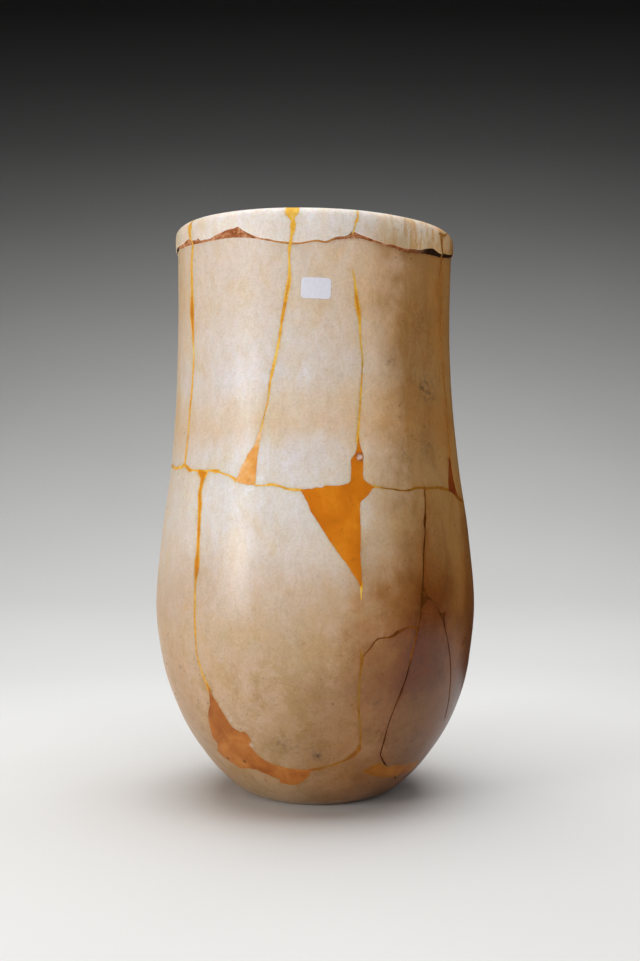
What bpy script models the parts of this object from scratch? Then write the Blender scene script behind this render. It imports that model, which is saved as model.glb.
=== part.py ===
"""Mended alabaster jar: a tall hollow stone vessel with a waisted neck, a low
belly and a small flat resting face, its losses filled with orange resin.

The jar is one turned, hollow stone wall.  Each larger loss goes right through
the wall and holds a cast fill of its own, 0.3 mm clear of the stone all round.
Angles are in degrees round the jar, 0 at the front (-Y) and growing to +X.
Lengths are in metres, +Z is up, and the origin is under the middle of the jar
on the resting plane.
"""
import bpy
import bmesh
from math import atan2, cos, hypot, pi, radians, sin, sqrt
from mathutils import Vector

# ---- driving sizes --------------------------------------------------------
HEIGHT = 0.4006            # at the axis, resting face to top of the lip
BASE_R = 0.0465            # flat resting face
BELLY_R, BELLY_Z = 0.1149, 0.135
WAIST_R, WAIST_Z = 0.0982, 0.345
LIP_R = 0.1005             # outside of the lip band at its fullest
LIP_FULL_Z = 0.3945        # height of that fullest line
LIP_FOOT_R = 0.0996        # outside of the band at its broken lower edge
LIP_WALL = 0.0130
LIP_ROUND_OUT = 0.0052     # rounding of the mouth, outer and inner edge
LIP_ROUND_IN = 0.0040
MOUTH_FALL = 0.0246        # the mouth dips this much for each metre to +X

NECK_WALL = 0.0112         # wall thickness, measured square to the surface
BELLY_WALL = 0.0140
FLOOR_WALL = 0.0210

FIT_GAP = 0.0003           # stone to fill, and stone to paper
SEGMENTS = 64              # round the jar

# outside of the jar, from the resting face up: (height, radius)
OUTLINE = (
    (0.0000, BASE_R),      # edge of the resting face
    (0.0035, 0.0551),      # turn of the underside
    (0.0110, 0.0650),      # lower bowl
    (0.0270, 0.0796),
    (0.0600, 0.0996),      # upper bowl
    (0.0950, 0.1105),
    (BELLY_Z, BELLY_R),    # belly
    (0.1850, 0.1108),      # shoulder easing into the neck
    (0.2350, 0.1039),
    (0.2950, 0.0993),
    (WAIST_Z, WAIST_R),    # waist
    (0.3900, 0.0989),      # neck under the lip
)
# how far the hand-worked axis wanders to +X: (height, shift)
AXIS_DRIFT = ((0.0, 0.0017), (0.060, 0.0014), (0.125, 0.0), (0.200, 0.0),
              (0.320, -0.0011), (0.410, -0.0004))
# broken lower edge of the lip band round the jar: (angle, height)
LIP_EDGE = ((-85, 0.389), (-62, 0.389), (-47, 0.386), (-29, 0.390),
            (-17, 0.381), (-6, 0.377), (8, 0.380), (14, 0.385), (24, 0.380),
            (40, 0.377), (54, 0.381), (62, 0.379), (85, 0.386), (118, 0.380),
            (150, 0.384), (182, 0.378), (214, 0.385), (240, 0.382),
            (275, 0.389))

# outlines of the losses on the outer face, each (angle, height in mm)
LOSSES = {
    # long triangle below the middle crack, with a narrow spike above it
    "belly_fill_centre": ((-4.7, 217.6), (3.2, 219.8), (12.6, 222), (13.1, 237),
                          (14.8, 241), (16.3, 252), (17.6, 241), (17.4, 225),
                          (21.9, 219.6), (18.7, 214), (16.0, 209), (15.3, 190),
                          (15.2, 157), (11.2, 168), (4.0, 188.5), (-1.1, 203)),
    # slim wedge above the mid-height crack
    "neck_fill_left": ((-20.0, 255), (-20.7, 241), (-21.2, 221.4),
                       (-29.8, 224), (-27.8, 231), (-24.8, 240.5),
                       (-21.6, 250)),
    # crescent low on the left of the belly
    "bowl_fill_left": ((-40.8, 87), (-36.0, 68), (-32.2, 59.5), (-27.0, 52),
                       (-25.6, 42), (-19.0, 36.8), (-2.4, 33.4), (-5.0, 27.5),
                       (-10.0, 22), (-19.0, 21.6), (-26.0, 27.5),
                       (-42.0, 31), (-49.0, 36.5), (-46.4, 48), (-45.2, 68)),
    # narrow triangle on the right, above the mid-height crack
    "neck_fill_right": ((64.2, 241), (66.1, 224), (71.0, 211), (60.2, 216),
                        (62.6, 230)),
    # notch in the mouth
    "rim_fill": ((-10.6, 408), (-5.6, 408), (-7.2, 392), (-8.3, 380.5),
                 (-9.4, 392)),
}

# paper sticker on the neck
STICKER_W, STICKER_H = 0.0222, 0.0156
STICKER_CORNER = 0.0026
STICKER_THICK = 0.0003
STICKER_ANGLE, STICKER_Z = 0.9, 0.3480
STICKER_TURN = -1.6        # degrees, clockwise as seen from the front

# ---- colours ---------------------------------------------------------------
STONE = (0.72, 0.53, 0.32)
RESIN = (0.62, 0.22, 0.03)
PAPER = (0.80, 0.79, 0.84)


# ---- curves of the jar -----------------------------------------------------
def monotone(points, x):
    """Smooth curve through points that never overshoots between them."""
    n = len(points)
    x = min(max(x, points[0][0]), points[-1][0])
    step = [points[i + 1][0] - points[i][0] for i in range(n - 1)]
    rise = [(points[i + 1][1] - points[i][1]) / step[i] for i in range(n - 1)]
    slope = [rise[0]] + [0.0] * (n - 2) + [rise[-1]]
    for i in range(1, n - 1):
        if rise[i - 1] * rise[i] > 0:
            a = 2 * step[i] + step[i - 1]
            b = step[i] + 2 * step[i - 1]
            slope[i] = (a + b) / (a / rise[i - 1] + b / rise[i])
    i = next(k for k in range(n - 1) if x <= points[k + 1][0])
    t = (x - points[i][0]) / step[i]
    return ((2 * t**3 - 3 * t**2 + 1) * points[i][1]
            + (t**3 - 2 * t**2 + t) * step[i] * slope[i]
            + (-2 * t**3 + 3 * t**2) * points[i + 1][1]
            + (t**3 - t**2) * step[i] * slope[i + 1])


def straight(points, x):
    """Broken line through points."""
    for (x0, y0), (x1, y1) in zip(points, points[1:]):
        if x <= x1:
            return y0 + (y1 - y0) * (x - x0) / (x1 - x0)
    return points[-1][1]


def smooth(a, b, x):
    t = min(max((x - a) / (b - a), 0.0), 1.0)
    return t * t * (3 - 2 * t)


def outer_r(z):
    return monotone(OUTLINE, z)


def facing(z):
    """Outward direction (radial, up) of the outer face at height z."""
    z = min(max(z, 0.0012), 0.388)
    lean = (outer_r(z + 0.001) - outer_r(z - 0.001)) / 0.002
    return 1 / sqrt(1 + lean * lean), -lean / sqrt(1 + lean * lean)


def wall(z):
    low = FLOOR_WALL + (BELLY_WALL - FLOOR_WALL) * smooth(0.0, 0.070, z)
    return low + (NECK_WALL - BELLY_WALL) * smooth(0.150, 0.290, z)


def inner_point(z):
    """Point of the inner face that backs the outer face at height z."""
    nr, nz = facing(z)
    return outer_r(z) - wall(z) * nr, z - wall(z) * nz


def place(angle, r, z):
    """Point at an angle, radius and height, with the drift of the axis and
    the dip of the mouth."""
    x = monotone(AXIS_DRIFT, z) + r * sin(radians(angle))
    y = -r * cos(radians(angle))
    dip = MOUTH_FALL * x * smooth(0.325, 0.398, z)
    return Vector((x, y, z - dip))


def lip_edge(angle):
    a = (angle + 85) % 360 - 85
    return straight(LIP_EDGE, a)


# ---- the stone wall ---------------------------------------------------------
def spaced(a, b, n, ease=1.0):
    return [a + (b - a) * (i / n) ** ease for i in range(n + 1)]


def wall_rings():
    """Rings round the jar as functions of the angle, underside to floor."""
    rings = []

    def ring(r, z):
        rings.append(lambda angle: place(angle, r, z))

    ring(BASE_R, 0.0)
    for z in spaced(0.0, 0.115, 12, 1.55)[1:] + spaced(0.115, 0.366, 12)[1:]:
        ring(outer_r(z), z)

    # the band starts at its broken edge: neck below it, band proud above it.
    # its heights are real ones, so the dip of the mouth is taken off again
    def band(r, lift):
        def at(angle):
            z = lip_edge(angle) + lift
            p = place(angle, r, z)
            return Vector((p.x, p.y, z))
        rings.append(at)

    band(outer_r(0.385), -0.0010)
    band(LIP_FOOT_R, 0.0)
    ring(LIP_R, LIP_FULL_Z)

    top = HEIGHT
    for k in (1, 2, 3, 4):
        t = k / 4 * pi / 2
        ring(LIP_R - LIP_ROUND_OUT * (1 - cos(t)),
             top - LIP_ROUND_OUT * (1 - sin(t)))
    inside = LIP_R - LIP_WALL
    for k in (0, 1, 2, 3):
        t = k / 3 * pi / 2
        ring(inside + LIP_ROUND_IN * (1 - sin(t)),
             top - LIP_ROUND_IN * (1 - cos(t)))
    ring(inner_point(0.372)[0], 0.372)
    for z in spaced(0.345, 0.115, 9) + [0.092, 0.070, 0.050, 0.033, 0.019,
                                        0.008, 0.0015]:
        ring(*inner_point(z))
    return rings


def make_wall(name):
    bm = bmesh.new()
    loops = []
    for ring in wall_rings():
        loops.append([bm.verts.new(ring(360 * i / SEGMENTS))
                      for i in range(SEGMENTS)])
    for low, high in zip(loops, loops[1:]):
        for i in range(SEGMENTS):
            j = (i + 1) % SEGMENTS
            bm.faces.new((low[i], low[j], high[j], high[i]))
    under = bm.verts.new((monotone(AXIS_DRIFT, 0.0), 0.0, 0.0))
    floor_z = inner_point(0.0015)[1]
    floor = bm.verts.new(place(0, 0.0, floor_z - 0.0012))
    for i in range(SEGMENTS):
        j = (i + 1) % SEGMENTS
        bm.faces.new((under, loops[0][j], loops[0][i]))
        bm.faces.new((floor, loops[-1][i], loops[-1][j]))
    bmesh.ops.recalc_face_normals(bm, faces=bm.faces)
    return to_object(bm, name)


# ---- the losses and their fills ---------------------------------------------
def inset(outline, gap):
    """Outline moved inward by gap, corners mitred and sharp tips held back."""
    r = outer_r(sum(z for _, z in outline) / len(outline) / 1000)
    flat = [Vector((radians(a) * r, z / 1000)) for a, z in outline]
    n = len(flat)
    area = sum(flat[i].x * flat[(i + 1) % n].y - flat[(i + 1) % n].x * flat[i].y
               for i in range(n))
    turn = 1 if area > 0 else -1
    moved = []
    for i in range(n):
        a = (flat[i] - flat[i - 1]).normalized()
        b = (flat[(i + 1) % n] - flat[i]).normalized()
        side = Vector((-(a.y + b.y), a.x + b.x)) * turn
        side = side.normalized() if side.length > 1e-6 else Vector((-a.y, a.x))
        open_ = abs(side.dot(Vector((-a.y, a.x))))
        moved.append(flat[i] + side * min(gap / max(open_, 1e-3), 13 * gap))
    return [(p.x / r * 180 / pi, p.y * 1000) for p in moved]


def plug(name, outline, gap=0.0):
    """Closed prism square to the wall, right through it and proud of both
    faces, with the outline as its edge, drawn in by the gap."""
    bm = bmesh.new()
    outer, inner = [], []
    n = len(outline)
    edge = inset(outline, gap) if gap else outline
    for i in range(n):
        j = (i + 1) % n
        long = hypot((outline[j][0] - outline[i][0]) * 1.8,
                     outline[j][1] - outline[i][1])
        parts = max(1, round(long / 14))
        (a0, z0), (a1, z1) = edge[i], edge[j]
        for k in range(parts):
            a = a0 + (a1 - a0) * k / parts
            z = (z0 + (z1 - z0) * k / parts) / 1000
            nr, nz = facing(z)
            r = outer_r(z)
            for out, row in ((0.014, outer), (-wall(z) - 0.009, inner)):
                p = place(a, r + out * nr, min(z, 0.36))
                row.append(bm.verts.new((p.x, p.y, z + out * nz)))
    m = len(outer)
    for i in range(m):
        j = (i + 1) % m
        bm.faces.new((outer[i], outer[j], inner[i]))
        bm.faces.new((outer[j], inner[j], inner[i]))
    caps = [bm.faces.new(outer), bm.faces.new(inner[::-1])]
    bmesh.ops.triangulate(bm, faces=caps)
    bmesh.ops.recalc_face_normals(bm, faces=bm.faces)
    return to_object(bm, name)


def to_object(bm, name):
    mesh = bpy.data.meshes.new(name)
    bm.to_mesh(mesh)
    bm.free()
    ob = bpy.data.objects.new(name, mesh)
    bpy.context.collection.objects.link(ob)
    return ob


def as_guide(ob):
    ob.hide_render = True
    ob.display_type = 'WIRE'
    return ob


def cut(ob, tool, how):
    mod = ob.modifiers.new(tool.name, 'BOOLEAN')
    mod.operation = how
    mod.solver = 'EXACT'
    mod.object = tool


# ---- the paper ---------------------------------------------------------------
def make_sticker(name):
    bm = bmesh.new()
    half_w, half_h, c = STICKER_W / 2, STICKER_H / 2, STICKER_CORNER
    arc = [c * (1 - cos(t * pi / 2 / 3)) for t in range(4)]
    xs = [-half_w + a for a in arc]
    xs += [-half_w + c + (2 * half_w - 2 * c) * k / 5 for k in range(1, 5)]
    xs += [half_w - a for a in reversed(arc)]
    turn = radians(STICKER_TURN)
    columns = []
    for x in xs:
        over = max(abs(x) - (half_w - c), 0.0)
        h = half_h - c + sqrt(max(c * c - over * over, 0.0))
        column = []
        for lift in (FIT_GAP, FIT_GAP + STICKER_THICK):
            for y in (-h, h):
                u = x * cos(turn) - y * sin(turn)
                z = STICKER_Z + x * sin(turn) + y * cos(turn)
                r = outer_r(z) + lift
                p = place(STICKER_ANGLE + u / r * 180 / pi, r, z)
                column.append(bm.verts.new((p.x, p.y, z)))
        columns.append(column)
    for a, b in zip(columns, columns[1:]):
        for i, j in ((0, 1), (1, 3), (3, 2), (2, 0)):
            bm.faces.new((a[i], a[j], b[j], b[i]))
    for end in (columns[0], columns[-1]):
        bm.faces.new((end[0], end[1], end[3], end[2]))
    bmesh.ops.recalc_face_normals(bm, faces=bm.faces)
    return to_object(bm, name)


def finish(ob, colour, roughness, smooth_angle=40):
    mat = bpy.data.materials.new(ob.name)
    mat.use_nodes = True
    shader = mat.node_tree.nodes["Principled BSDF"]
    shader.inputs["Base Color"].default_value = (*colour, 1.0)
    shader.inputs["Roughness"].default_value = roughness
    shader.inputs["Metallic"].default_value = 0.0
    ob.data.materials.clear()
    ob.data.materials.append(mat)
    ob.data.shade_smooth()
    ob.data.set_sharp_from_angle(angle=radians(smooth_angle))


def build():
    for ob in list(bpy.data.objects):
        bpy.data.objects.remove(ob, do_unlink=True)

    jar = make_wall("jar_body")
    whole = as_guide(make_wall("whole_wall_guide"))
    finish(jar, STONE, 0.42)

    for name, outline in LOSSES.items():
        pocket = as_guide(plug(name + "_pocket_guide", outline))
        cut(jar, pocket, 'DIFFERENCE')
        fill = plug(name, outline, FIT_GAP)
        cut(fill, whole, 'INTERSECT')
        finish(fill, RESIN, 0.30)

    sticker = make_sticker("paper_sticker")
    finish(sticker, PAPER, 0.70)


build()
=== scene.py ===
"""Looks of the mended alabaster jar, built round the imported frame.

The jar's whole skin (outer wall, lip, inner wall) is one unrolled sheet with
the angle round the jar across and the length along the profile up.  Mending
seams, resin fills and open cracks are drawn on that sheet, the sheet is
triangulated along their edges, and it is then rolled back into the jar, with
real channels in the stone and real inlays in them.  Metres, +Z up.
"""

import math

import bpy
import numpy as np
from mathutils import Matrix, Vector
from mathutils.geometry import delaunay_2d_cdt


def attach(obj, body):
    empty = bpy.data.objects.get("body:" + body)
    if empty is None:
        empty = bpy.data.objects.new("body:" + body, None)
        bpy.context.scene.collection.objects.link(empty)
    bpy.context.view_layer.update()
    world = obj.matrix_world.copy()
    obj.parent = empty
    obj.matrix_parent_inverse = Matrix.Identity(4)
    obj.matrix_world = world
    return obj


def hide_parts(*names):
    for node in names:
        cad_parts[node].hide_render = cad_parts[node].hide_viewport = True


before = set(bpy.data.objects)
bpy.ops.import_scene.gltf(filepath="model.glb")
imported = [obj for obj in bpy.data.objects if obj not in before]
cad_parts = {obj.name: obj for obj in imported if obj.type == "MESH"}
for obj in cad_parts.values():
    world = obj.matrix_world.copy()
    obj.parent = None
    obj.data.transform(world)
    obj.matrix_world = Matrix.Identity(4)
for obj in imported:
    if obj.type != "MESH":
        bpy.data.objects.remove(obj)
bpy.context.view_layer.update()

# ---------------------------------------------------------------- camera -----
# the photograph's frame, 640 x 961 pixels, seen level from mid height
FRAME_W, FRAME_H = 640, 961
FOCAL_PX = 1180.0
CAM = np.array([0.0034, -0.8608, 0.2237])
CX, CY = FRAME_W / 2, FRAME_H / 2

cam_data = bpy.data.cameras.new("camera")
cam_data.sensor_width = 36.0
cam_data.sensor_fit = 'AUTO'
cam_data.lens = FOCAL_PX / FRAME_H * 36.0
cam_data.clip_start = 0.01
cam = bpy.data.objects.new("camera", cam_data)
cam.location = CAM
cam.rotation_euler = (math.radians(90), 0, 0)
bpy.context.collection.objects.link(cam)
bpy.context.scene.camera = cam

# --------------------------------------------------- the jar's own sizes -----
HEIGHT = 0.4006
BASE_R = 0.0465
BELLY_R, BELLY_Z = 0.1149, 0.135
WAIST_R, WAIST_Z = 0.0982, 0.345
LIP_R, LIP_FULL_Z, LIP_FOOT_R = 0.1005, 0.3945, 0.0997
LIP_WALL, LIP_ROUND_OUT, LIP_ROUND_IN = 0.0130, 0.0052, 0.0040
MOUTH_FALL = 0.0246
NECK_WALL, BELLY_WALL, FLOOR_WALL = 0.0112, 0.0140, 0.0210
OUTLINE = ((0.0, BASE_R), (0.0035, 0.0551), (0.0110, 0.0650), (0.0270, 0.0796),
           (0.0600, 0.0996), (0.0950, 0.1105), (BELLY_Z, BELLY_R),
           (0.1850, 0.1108), (0.2350, 0.1039), (0.2950, 0.0993),
           (WAIST_Z, WAIST_R), (0.3900, 0.0989))
AXIS_DRIFT = ((0.0, 0.0017), (0.060, 0.0014), (0.125, 0.0), (0.200, 0.0),
              (0.320, -0.0011), (0.410, -0.0004))
R0 = 0.100                     # radius at which the sheet is unrolled
DEPTH = 0.0007                 # of the channels that hold seams and fills


def monotone(points, x):
    px = np.array([p[0] for p in points], float)
    py = np.array([p[1] for p in points], float)
    x = np.clip(np.asarray(x, float), px[0], px[-1])
    step = np.diff(px)
    rise = np.diff(py) / step
    slope = np.zeros(len(px))
    slope[0], slope[-1] = rise[0], rise[-1]
    for i in range(1, len(px) - 1):
        if rise[i - 1] * rise[i] > 0:
            a = 2 * step[i] + step[i - 1]
            b = step[i] + 2 * step[i - 1]
            slope[i] = (a + b) / (a / rise[i - 1] + b / rise[i])
    i = np.clip(np.searchsorted(px, x, side="right") - 1, 0, len(px) - 2)
    t = (x - px[i]) / step[i]
    return ((2 * t**3 - 3 * t**2 + 1) * py[i]
            + (t**3 - 2 * t**2 + t) * step[i] * slope[i]
            + (-2 * t**3 + 3 * t**2) * py[i + 1]
            + (t**3 - t**2) * step[i] * slope[i + 1])


def smooth(a, b, x):
    t = np.clip((np.asarray(x, float) - a) / (b - a), 0.0, 1.0)
    return t * t * (3 - 2 * t)


def neck_r(z):
    return monotone(OUTLINE, z)


def lip_r(z):
    return LIP_FOOT_R + (LIP_R - LIP_FOOT_R) * smooth(0.374, LIP_FULL_Z, z)


def drift(z):
    return monotone(AXIS_DRIFT, z)


def wall(z):
    low = FLOOR_WALL + (BELLY_WALL - FLOOR_WALL) * smooth(0.0, 0.070, z)
    return low + (NECK_WALL - BELLY_WALL) * smooth(0.150, 0.290, z)


def inner_point(z):
    zc = np.clip(z, 0.0012, 0.388)
    lean = (neck_r(zc + 0.001) - neck_r(zc - 0.001)) / 0.002
    n = np.sqrt(1 + lean * lean)
    return neck_r(z) - wall(z) / n, z + wall(z) * lean / n


def profile():
    """Points (r, z) from the resting face, over the lip, to the floor inside."""
    z = np.concatenate([np.arange(0.0, 0.030, 0.0006),
                        np.arange(0.030, 0.3705, 0.001)])
    outer = np.stack([neck_r(z), z], 1)
    zl = np.arange(0.3725, LIP_FULL_Z + 1e-9, 0.0005)
    lip = np.stack([lip_r(zl), zl], 1)
    t = np.linspace(0, math.pi / 2, 13)
    over = np.stack([LIP_R - LIP_ROUND_OUT * (1 - np.cos(t)),
                     HEIGHT - LIP_ROUND_OUT * (1 - np.sin(t))], 1)
    inside = LIP_R - LIP_WALL
    down = np.stack([inside + LIP_ROUND_IN * (1 - np.sin(t)),
                     HEIGHT - LIP_ROUND_IN * (1 - np.cos(t))], 1)
    zb = np.concatenate([np.arange(0.372, 0.030, -0.0015),
                         np.arange(0.030, 0.0015, -0.0006)])
    ri, zi = inner_point(zb)
    inner = np.stack([ri, zi], 1)
    rows = np.concatenate([outer, lip, over, down, inner])
    s = np.concatenate([[0], np.cumsum(np.hypot(*np.diff(rows, axis=0).T))])
    n_out = len(outer) + len(lip)
    n_in = len(outer) + len(lip) + len(over) + len(down)
    return (rows, s, (rows[:n_out, 1], s[:n_out]),
            (zb[::-1], s[n_in:][::-1]), s[n_out + 6], s[n_in - 1])


PROF, PS, OUT_MAP, IN_MAP, S_CREST, S_INNER = profile()
S_END = float(PS[-1])
_t = np.gradient(PROF, PS, axis=0)
_t /= np.linalg.norm(_t, axis=1)[:, None]
PN = np.stack([_t[:, 1], -_t[:, 0]], 1)
WIDTH = 2 * math.pi * R0


def s_out(z):
    return np.interp(z, *OUT_MAP)


def s_in(z):
    return np.interp(z, *IN_MAP)


def dip(x, z):
    return MOUTH_FALL * x * smooth(0.325, 0.398, z)


def to_param(theta, z_real):
    """Height before the dip of the mouth, from the real height."""
    z = np.array(z_real, float)
    for _ in range(4):
        x = drift(z) + neck_r(z) * np.sin(np.radians(theta))
        z = z_real + dip(x, z)
    return z


# ---------------------------------------------- from the view to the jar -----
def on_jar(points):
    """Points of the 640 x 961 frame to (angle in degrees, real height)."""
    p = np.asarray(points, float)
    ray = np.stack([(p[:, 0] - CX) / FOCAL_PX, np.ones(len(p)),
                    (CY - p[:, 1]) / FOCAL_PX], 1)
    t = np.linspace(-CAM[1] - 0.125, -CAM[1], 600)
    pos = CAM + ray[:, None, :] * t[None, :, None]
    z = pos[..., 2]
    gap = np.hypot(pos[..., 0] - drift(z), pos[..., 1]) - np.where(
        z > 0.383, lip_r(z), neck_r(z))
    hit = gap < 0
    first = np.where(hit.any(1), hit.argmax(1), gap.argmin(1))
    k = np.clip(first, 1, None)
    i = np.arange(len(p))
    g0, g1 = gap[i, k - 1], gap[i, k]
    f = np.where(hit.any(1), g0 / np.where(g0 == g1, 1, g0 - g1), 1.0)
    q = pos[i, k - 1] + (pos[i, k] - pos[i, k - 1]) * f[:, None]
    theta = np.degrees(np.arctan2(q[:, 0] - drift(q[:, 2]), -q[:, 1]))
    return theta, q[:, 2]


def on_sheet(points, inside=False):
    """Points of the frame to (u, s) on the unrolled sheet."""
    theta, z = on_jar(points)
    z = to_param(theta, z)
    s = s_in(z) if inside else s_out(z)
    return np.stack([np.radians(theta) * R0, s], 1)


# ------------------------------------------------------- the lip's edge ------
# the broken lower edge of the lip band, in the frame: its upper line, where
# the band ends, and its lower line, where the smooth neck starts
LIP_UP = [(177, 247.2), (179, 245.6), (181, 245), (183.5, 242.8),
          (185.5, 240.8), (187.7, 238.8), (189.6, 240.4), (191.4, 240.6),
          (193.5, 240.2), (195.6, 240.4), (197.4, 238), (199, 240),
          (201, 240.6), (204, 239.4), (207, 239.4), (210.4, 238.3),
          (213, 236.4), (216, 234.7), (218.4, 233.6), (220.8, 232.5),
          (223.6, 231), (226.4, 229.9), (229.6, 229), (232.8, 228.7),
          (235, 227.4), (237.1, 226.6), (239, 227.6), (241.5, 229.5),
          (246.3, 232.3), (252.7, 235.3), (260.7, 238.1), (268.6, 239.1),
          (276.6, 241), (283, 241.6), (289.4, 242.3), (296, 242.7),
          (302, 242.5), (308, 241.2), (313, 240.4), (317.5, 239.7),
          (321, 240.4), (324.4, 241.3), (328, 240.6), (331, 239.2),
          (335, 237.3), (340, 236.5), (344, 236.6), (347, 235.6),
          (349, 234.2), (351, 232.4), (352.7, 231.2), (354.6, 231.8),
          (356.5, 232.7), (360, 234.4), (364.2, 236.4), (368, 237.8),
          (371.8, 239.5), (375.6, 240.8), (379.5, 242.2), (383.5, 243.6),
          (387, 244.7), (390, 244.4), (393, 244.8), (396.4, 246.4),
          (399.6, 247.3), (403, 248.6), (408, 249), (413, 249.4), (418, 250),
          (421, 250), (424, 249.1), (428, 248.6), (432.6, 248.6),
          (434.7, 250.6), (437.5, 253), (440.4, 254.4), (443, 253.6),
          (446, 254.8), (449, 254.9), (453, 254.5)]
LIP_LOW = [(177, 249.6), (181, 248.2), (184.9, 246.2), (191.3, 244.6),
           (196, 243.6), (200.9, 242.5), (206, 241.4), (212.8, 240),
           (218, 239), (224.8, 238), (232.8, 237.2), (238, 237.2),
           (244.7, 237.6), (252.7, 238.2), (260.7, 239.4), (268.6, 240.9),
           (276.6, 242.4), (283, 243.6), (289.4, 244.5), (296, 244.5),
           (302, 243.9), (308, 242.7), (313, 242), (317.5, 241.6),
           (321, 242.2), (324.4, 243), (328, 242.4), (331, 241.4),
           (335, 239.8), (340, 239), (346, 238.7), (351, 238.2),
           (355, 238.2), (360, 238.4), (364.2, 239.2), (368, 240.4),
           (371.8, 241.3), (375.6, 242.6), (379.5, 243.9), (387, 246.4),
           (393, 247.5), (399.6, 249.6), (405, 252), (411, 252.8),
           (418, 253.4), (424, 253.8), (429, 254.6), (436, 256.5),
           (441, 257.6), (447.4, 258.1), (453, 257.4)]
# the same edge where the view doesn't reach: (angle, height of upper line)
LIP_BACK = ((92, 0.3868), (104, 0.3842), (112, 0.3806), (121, 0.3795),
            (130, 0.3818), (141, 0.3846), (149, 0.3832), (158, 0.3800),
            (170, 0.3782), (184, 0.3790), (193, 0.3822), (201, 0.3852),
            (209, 0.3874), (215, 0.3858), (224, 0.3831), (236, 0.3815),
            (247, 0.3830), (258, 0.3862), (268, 0.3884))


def value_noise(x, seed):
    """Smooth noise along a line, period 360."""
    rng = np.random.default_rng(seed)
    out = np.zeros_like(x, dtype=float)
    for n, amp in ((90, 0.55), (220, 0.45)):
        knots = rng.uniform(-1, 1, n)
        f = (np.mod(x, 360) / 360) * n
        i = np.floor(f).astype(int) % n
        t = f - np.floor(f)
        t = t * t * (3 - 2 * t)
        out += amp * (knots[i] * (1 - t) + knots[(i + 1) % n] * t)
    return out


def lip_lines():
    theta = np.linspace(-180, 180, 901)
    tu, zu = on_jar(LIP_UP)
    tl, zl = on_jar(LIP_LOW)
    back_a = np.array([p[0] for p in LIP_BACK], float)
    back_z = np.array([p[1] for p in LIP_BACK])
    rough = value_noise(theta, 3)
    thick = 0.0011 + 0.0024 * np.clip(value_noise(theta + 40, 5), 0, 1)
    a = np.mod(theta + 85, 360) - 85
    seen = (a > tu[0] + 0.3) & (a < tu[-1] - 0.3)
    knots_a = np.concatenate([[tu[-1]], back_a, [tu[0] + 360]])
    knots_z = np.concatenate([[zu[-1]], back_z, [zu[0]]])
    up_back = np.interp(np.where(a < 0, a + 360, a), knots_a, knots_z)
    up_back = up_back + 0.0006 * rough
    up = np.where(seen, np.interp(a, tu, zu), up_back)
    low_back = up_back - thick
    low = np.where(seen, np.interp(a, tl, zl), low_back)
    low = np.minimum(low, up - 0.00085)
    up[-1], low[-1] = up[0], low[0]
    return theta, up, low


LIP_T, LIP_HI, LIP_LO = lip_lines()


def lip_share(theta, z_real):
    """0 on the neck, 1 on the lip band, rising over the broken edge."""
    hi = np.interp(theta, LIP_T, LIP_HI)
    lo = np.interp(theta, LIP_T, LIP_LO)
    t = np.clip((z_real - lo) / (hi - lo), 0, 1)
    step = np.clip((z_real - hi) / 0.00035, 0, 1)
    return 0.62 * t**1.5 + 0.38 * step


def noise3(p, size, seed):
    """Smooth value noise in space, about -1 to 1."""
    q = np.asarray(p, float) / size + 517.3
    i = np.floor(q).astype(np.int64)
    f = q - i
    f = f * f * (3 - 2 * f)
    out = np.zeros(len(q))
    for dx in (0, 1):
        for dy in (0, 1):
            for dz in (0, 1):
                h = ((i[:, 0] + dx) * 73856093 ^ (i[:, 1] + dy) * 19349663
                     ^ (i[:, 2] + dz) * 83492791 ^ seed * 2654435761)
                h = (h ^ (h >> 13)) * 1274126177
                v = ((h ^ (h >> 16)) & 0xFFFFF) / 524287.5 - 1.0
                w = (np.where(dx, f[:, 0], 1 - f[:, 0])
                     * np.where(dy, f[:, 1], 1 - f[:, 1])
                     * np.where(dz, f[:, 2], 1 - f[:, 2]))
                out += v * w
    return out


def roll(uv, lift=0.0):
    """Points (u, s) of the sheet, lifted off it, to the jar."""
    theta = uv[:, 0] / R0
    s = uv[:, 1]
    r = np.interp(s, PS, PROF[:, 0])
    z = np.interp(s, PS, PROF[:, 1])
    nr = np.interp(s, PS, PN[:, 0])
    nz = np.interp(s, PS, PN[:, 1])
    n = np.hypot(nr, nz)
    nr, nz = nr / n, nz / n
    x = drift(z) + r * np.sin(theta)
    outside = (s < S_CREST) & (z > 0.366) & (z < LIP_FULL_Z + 0.004)
    share = lip_share(np.degrees(theta), z - dip(x, z))
    band = np.where(z < 0.372, neck_r(z), lip_r(z))
    r = np.where(outside & (s < s_out(LIP_FULL_Z)),
                 neck_r(z) + (band - neck_r(z)) * share, r)
    r = r + lift * nr
    zz = z + lift * nz
    x = drift(z) + r * np.sin(theta)
    y = -r * np.cos(theta)
    return np.stack([x, y, zz - dip(x, z)], 1)


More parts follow.
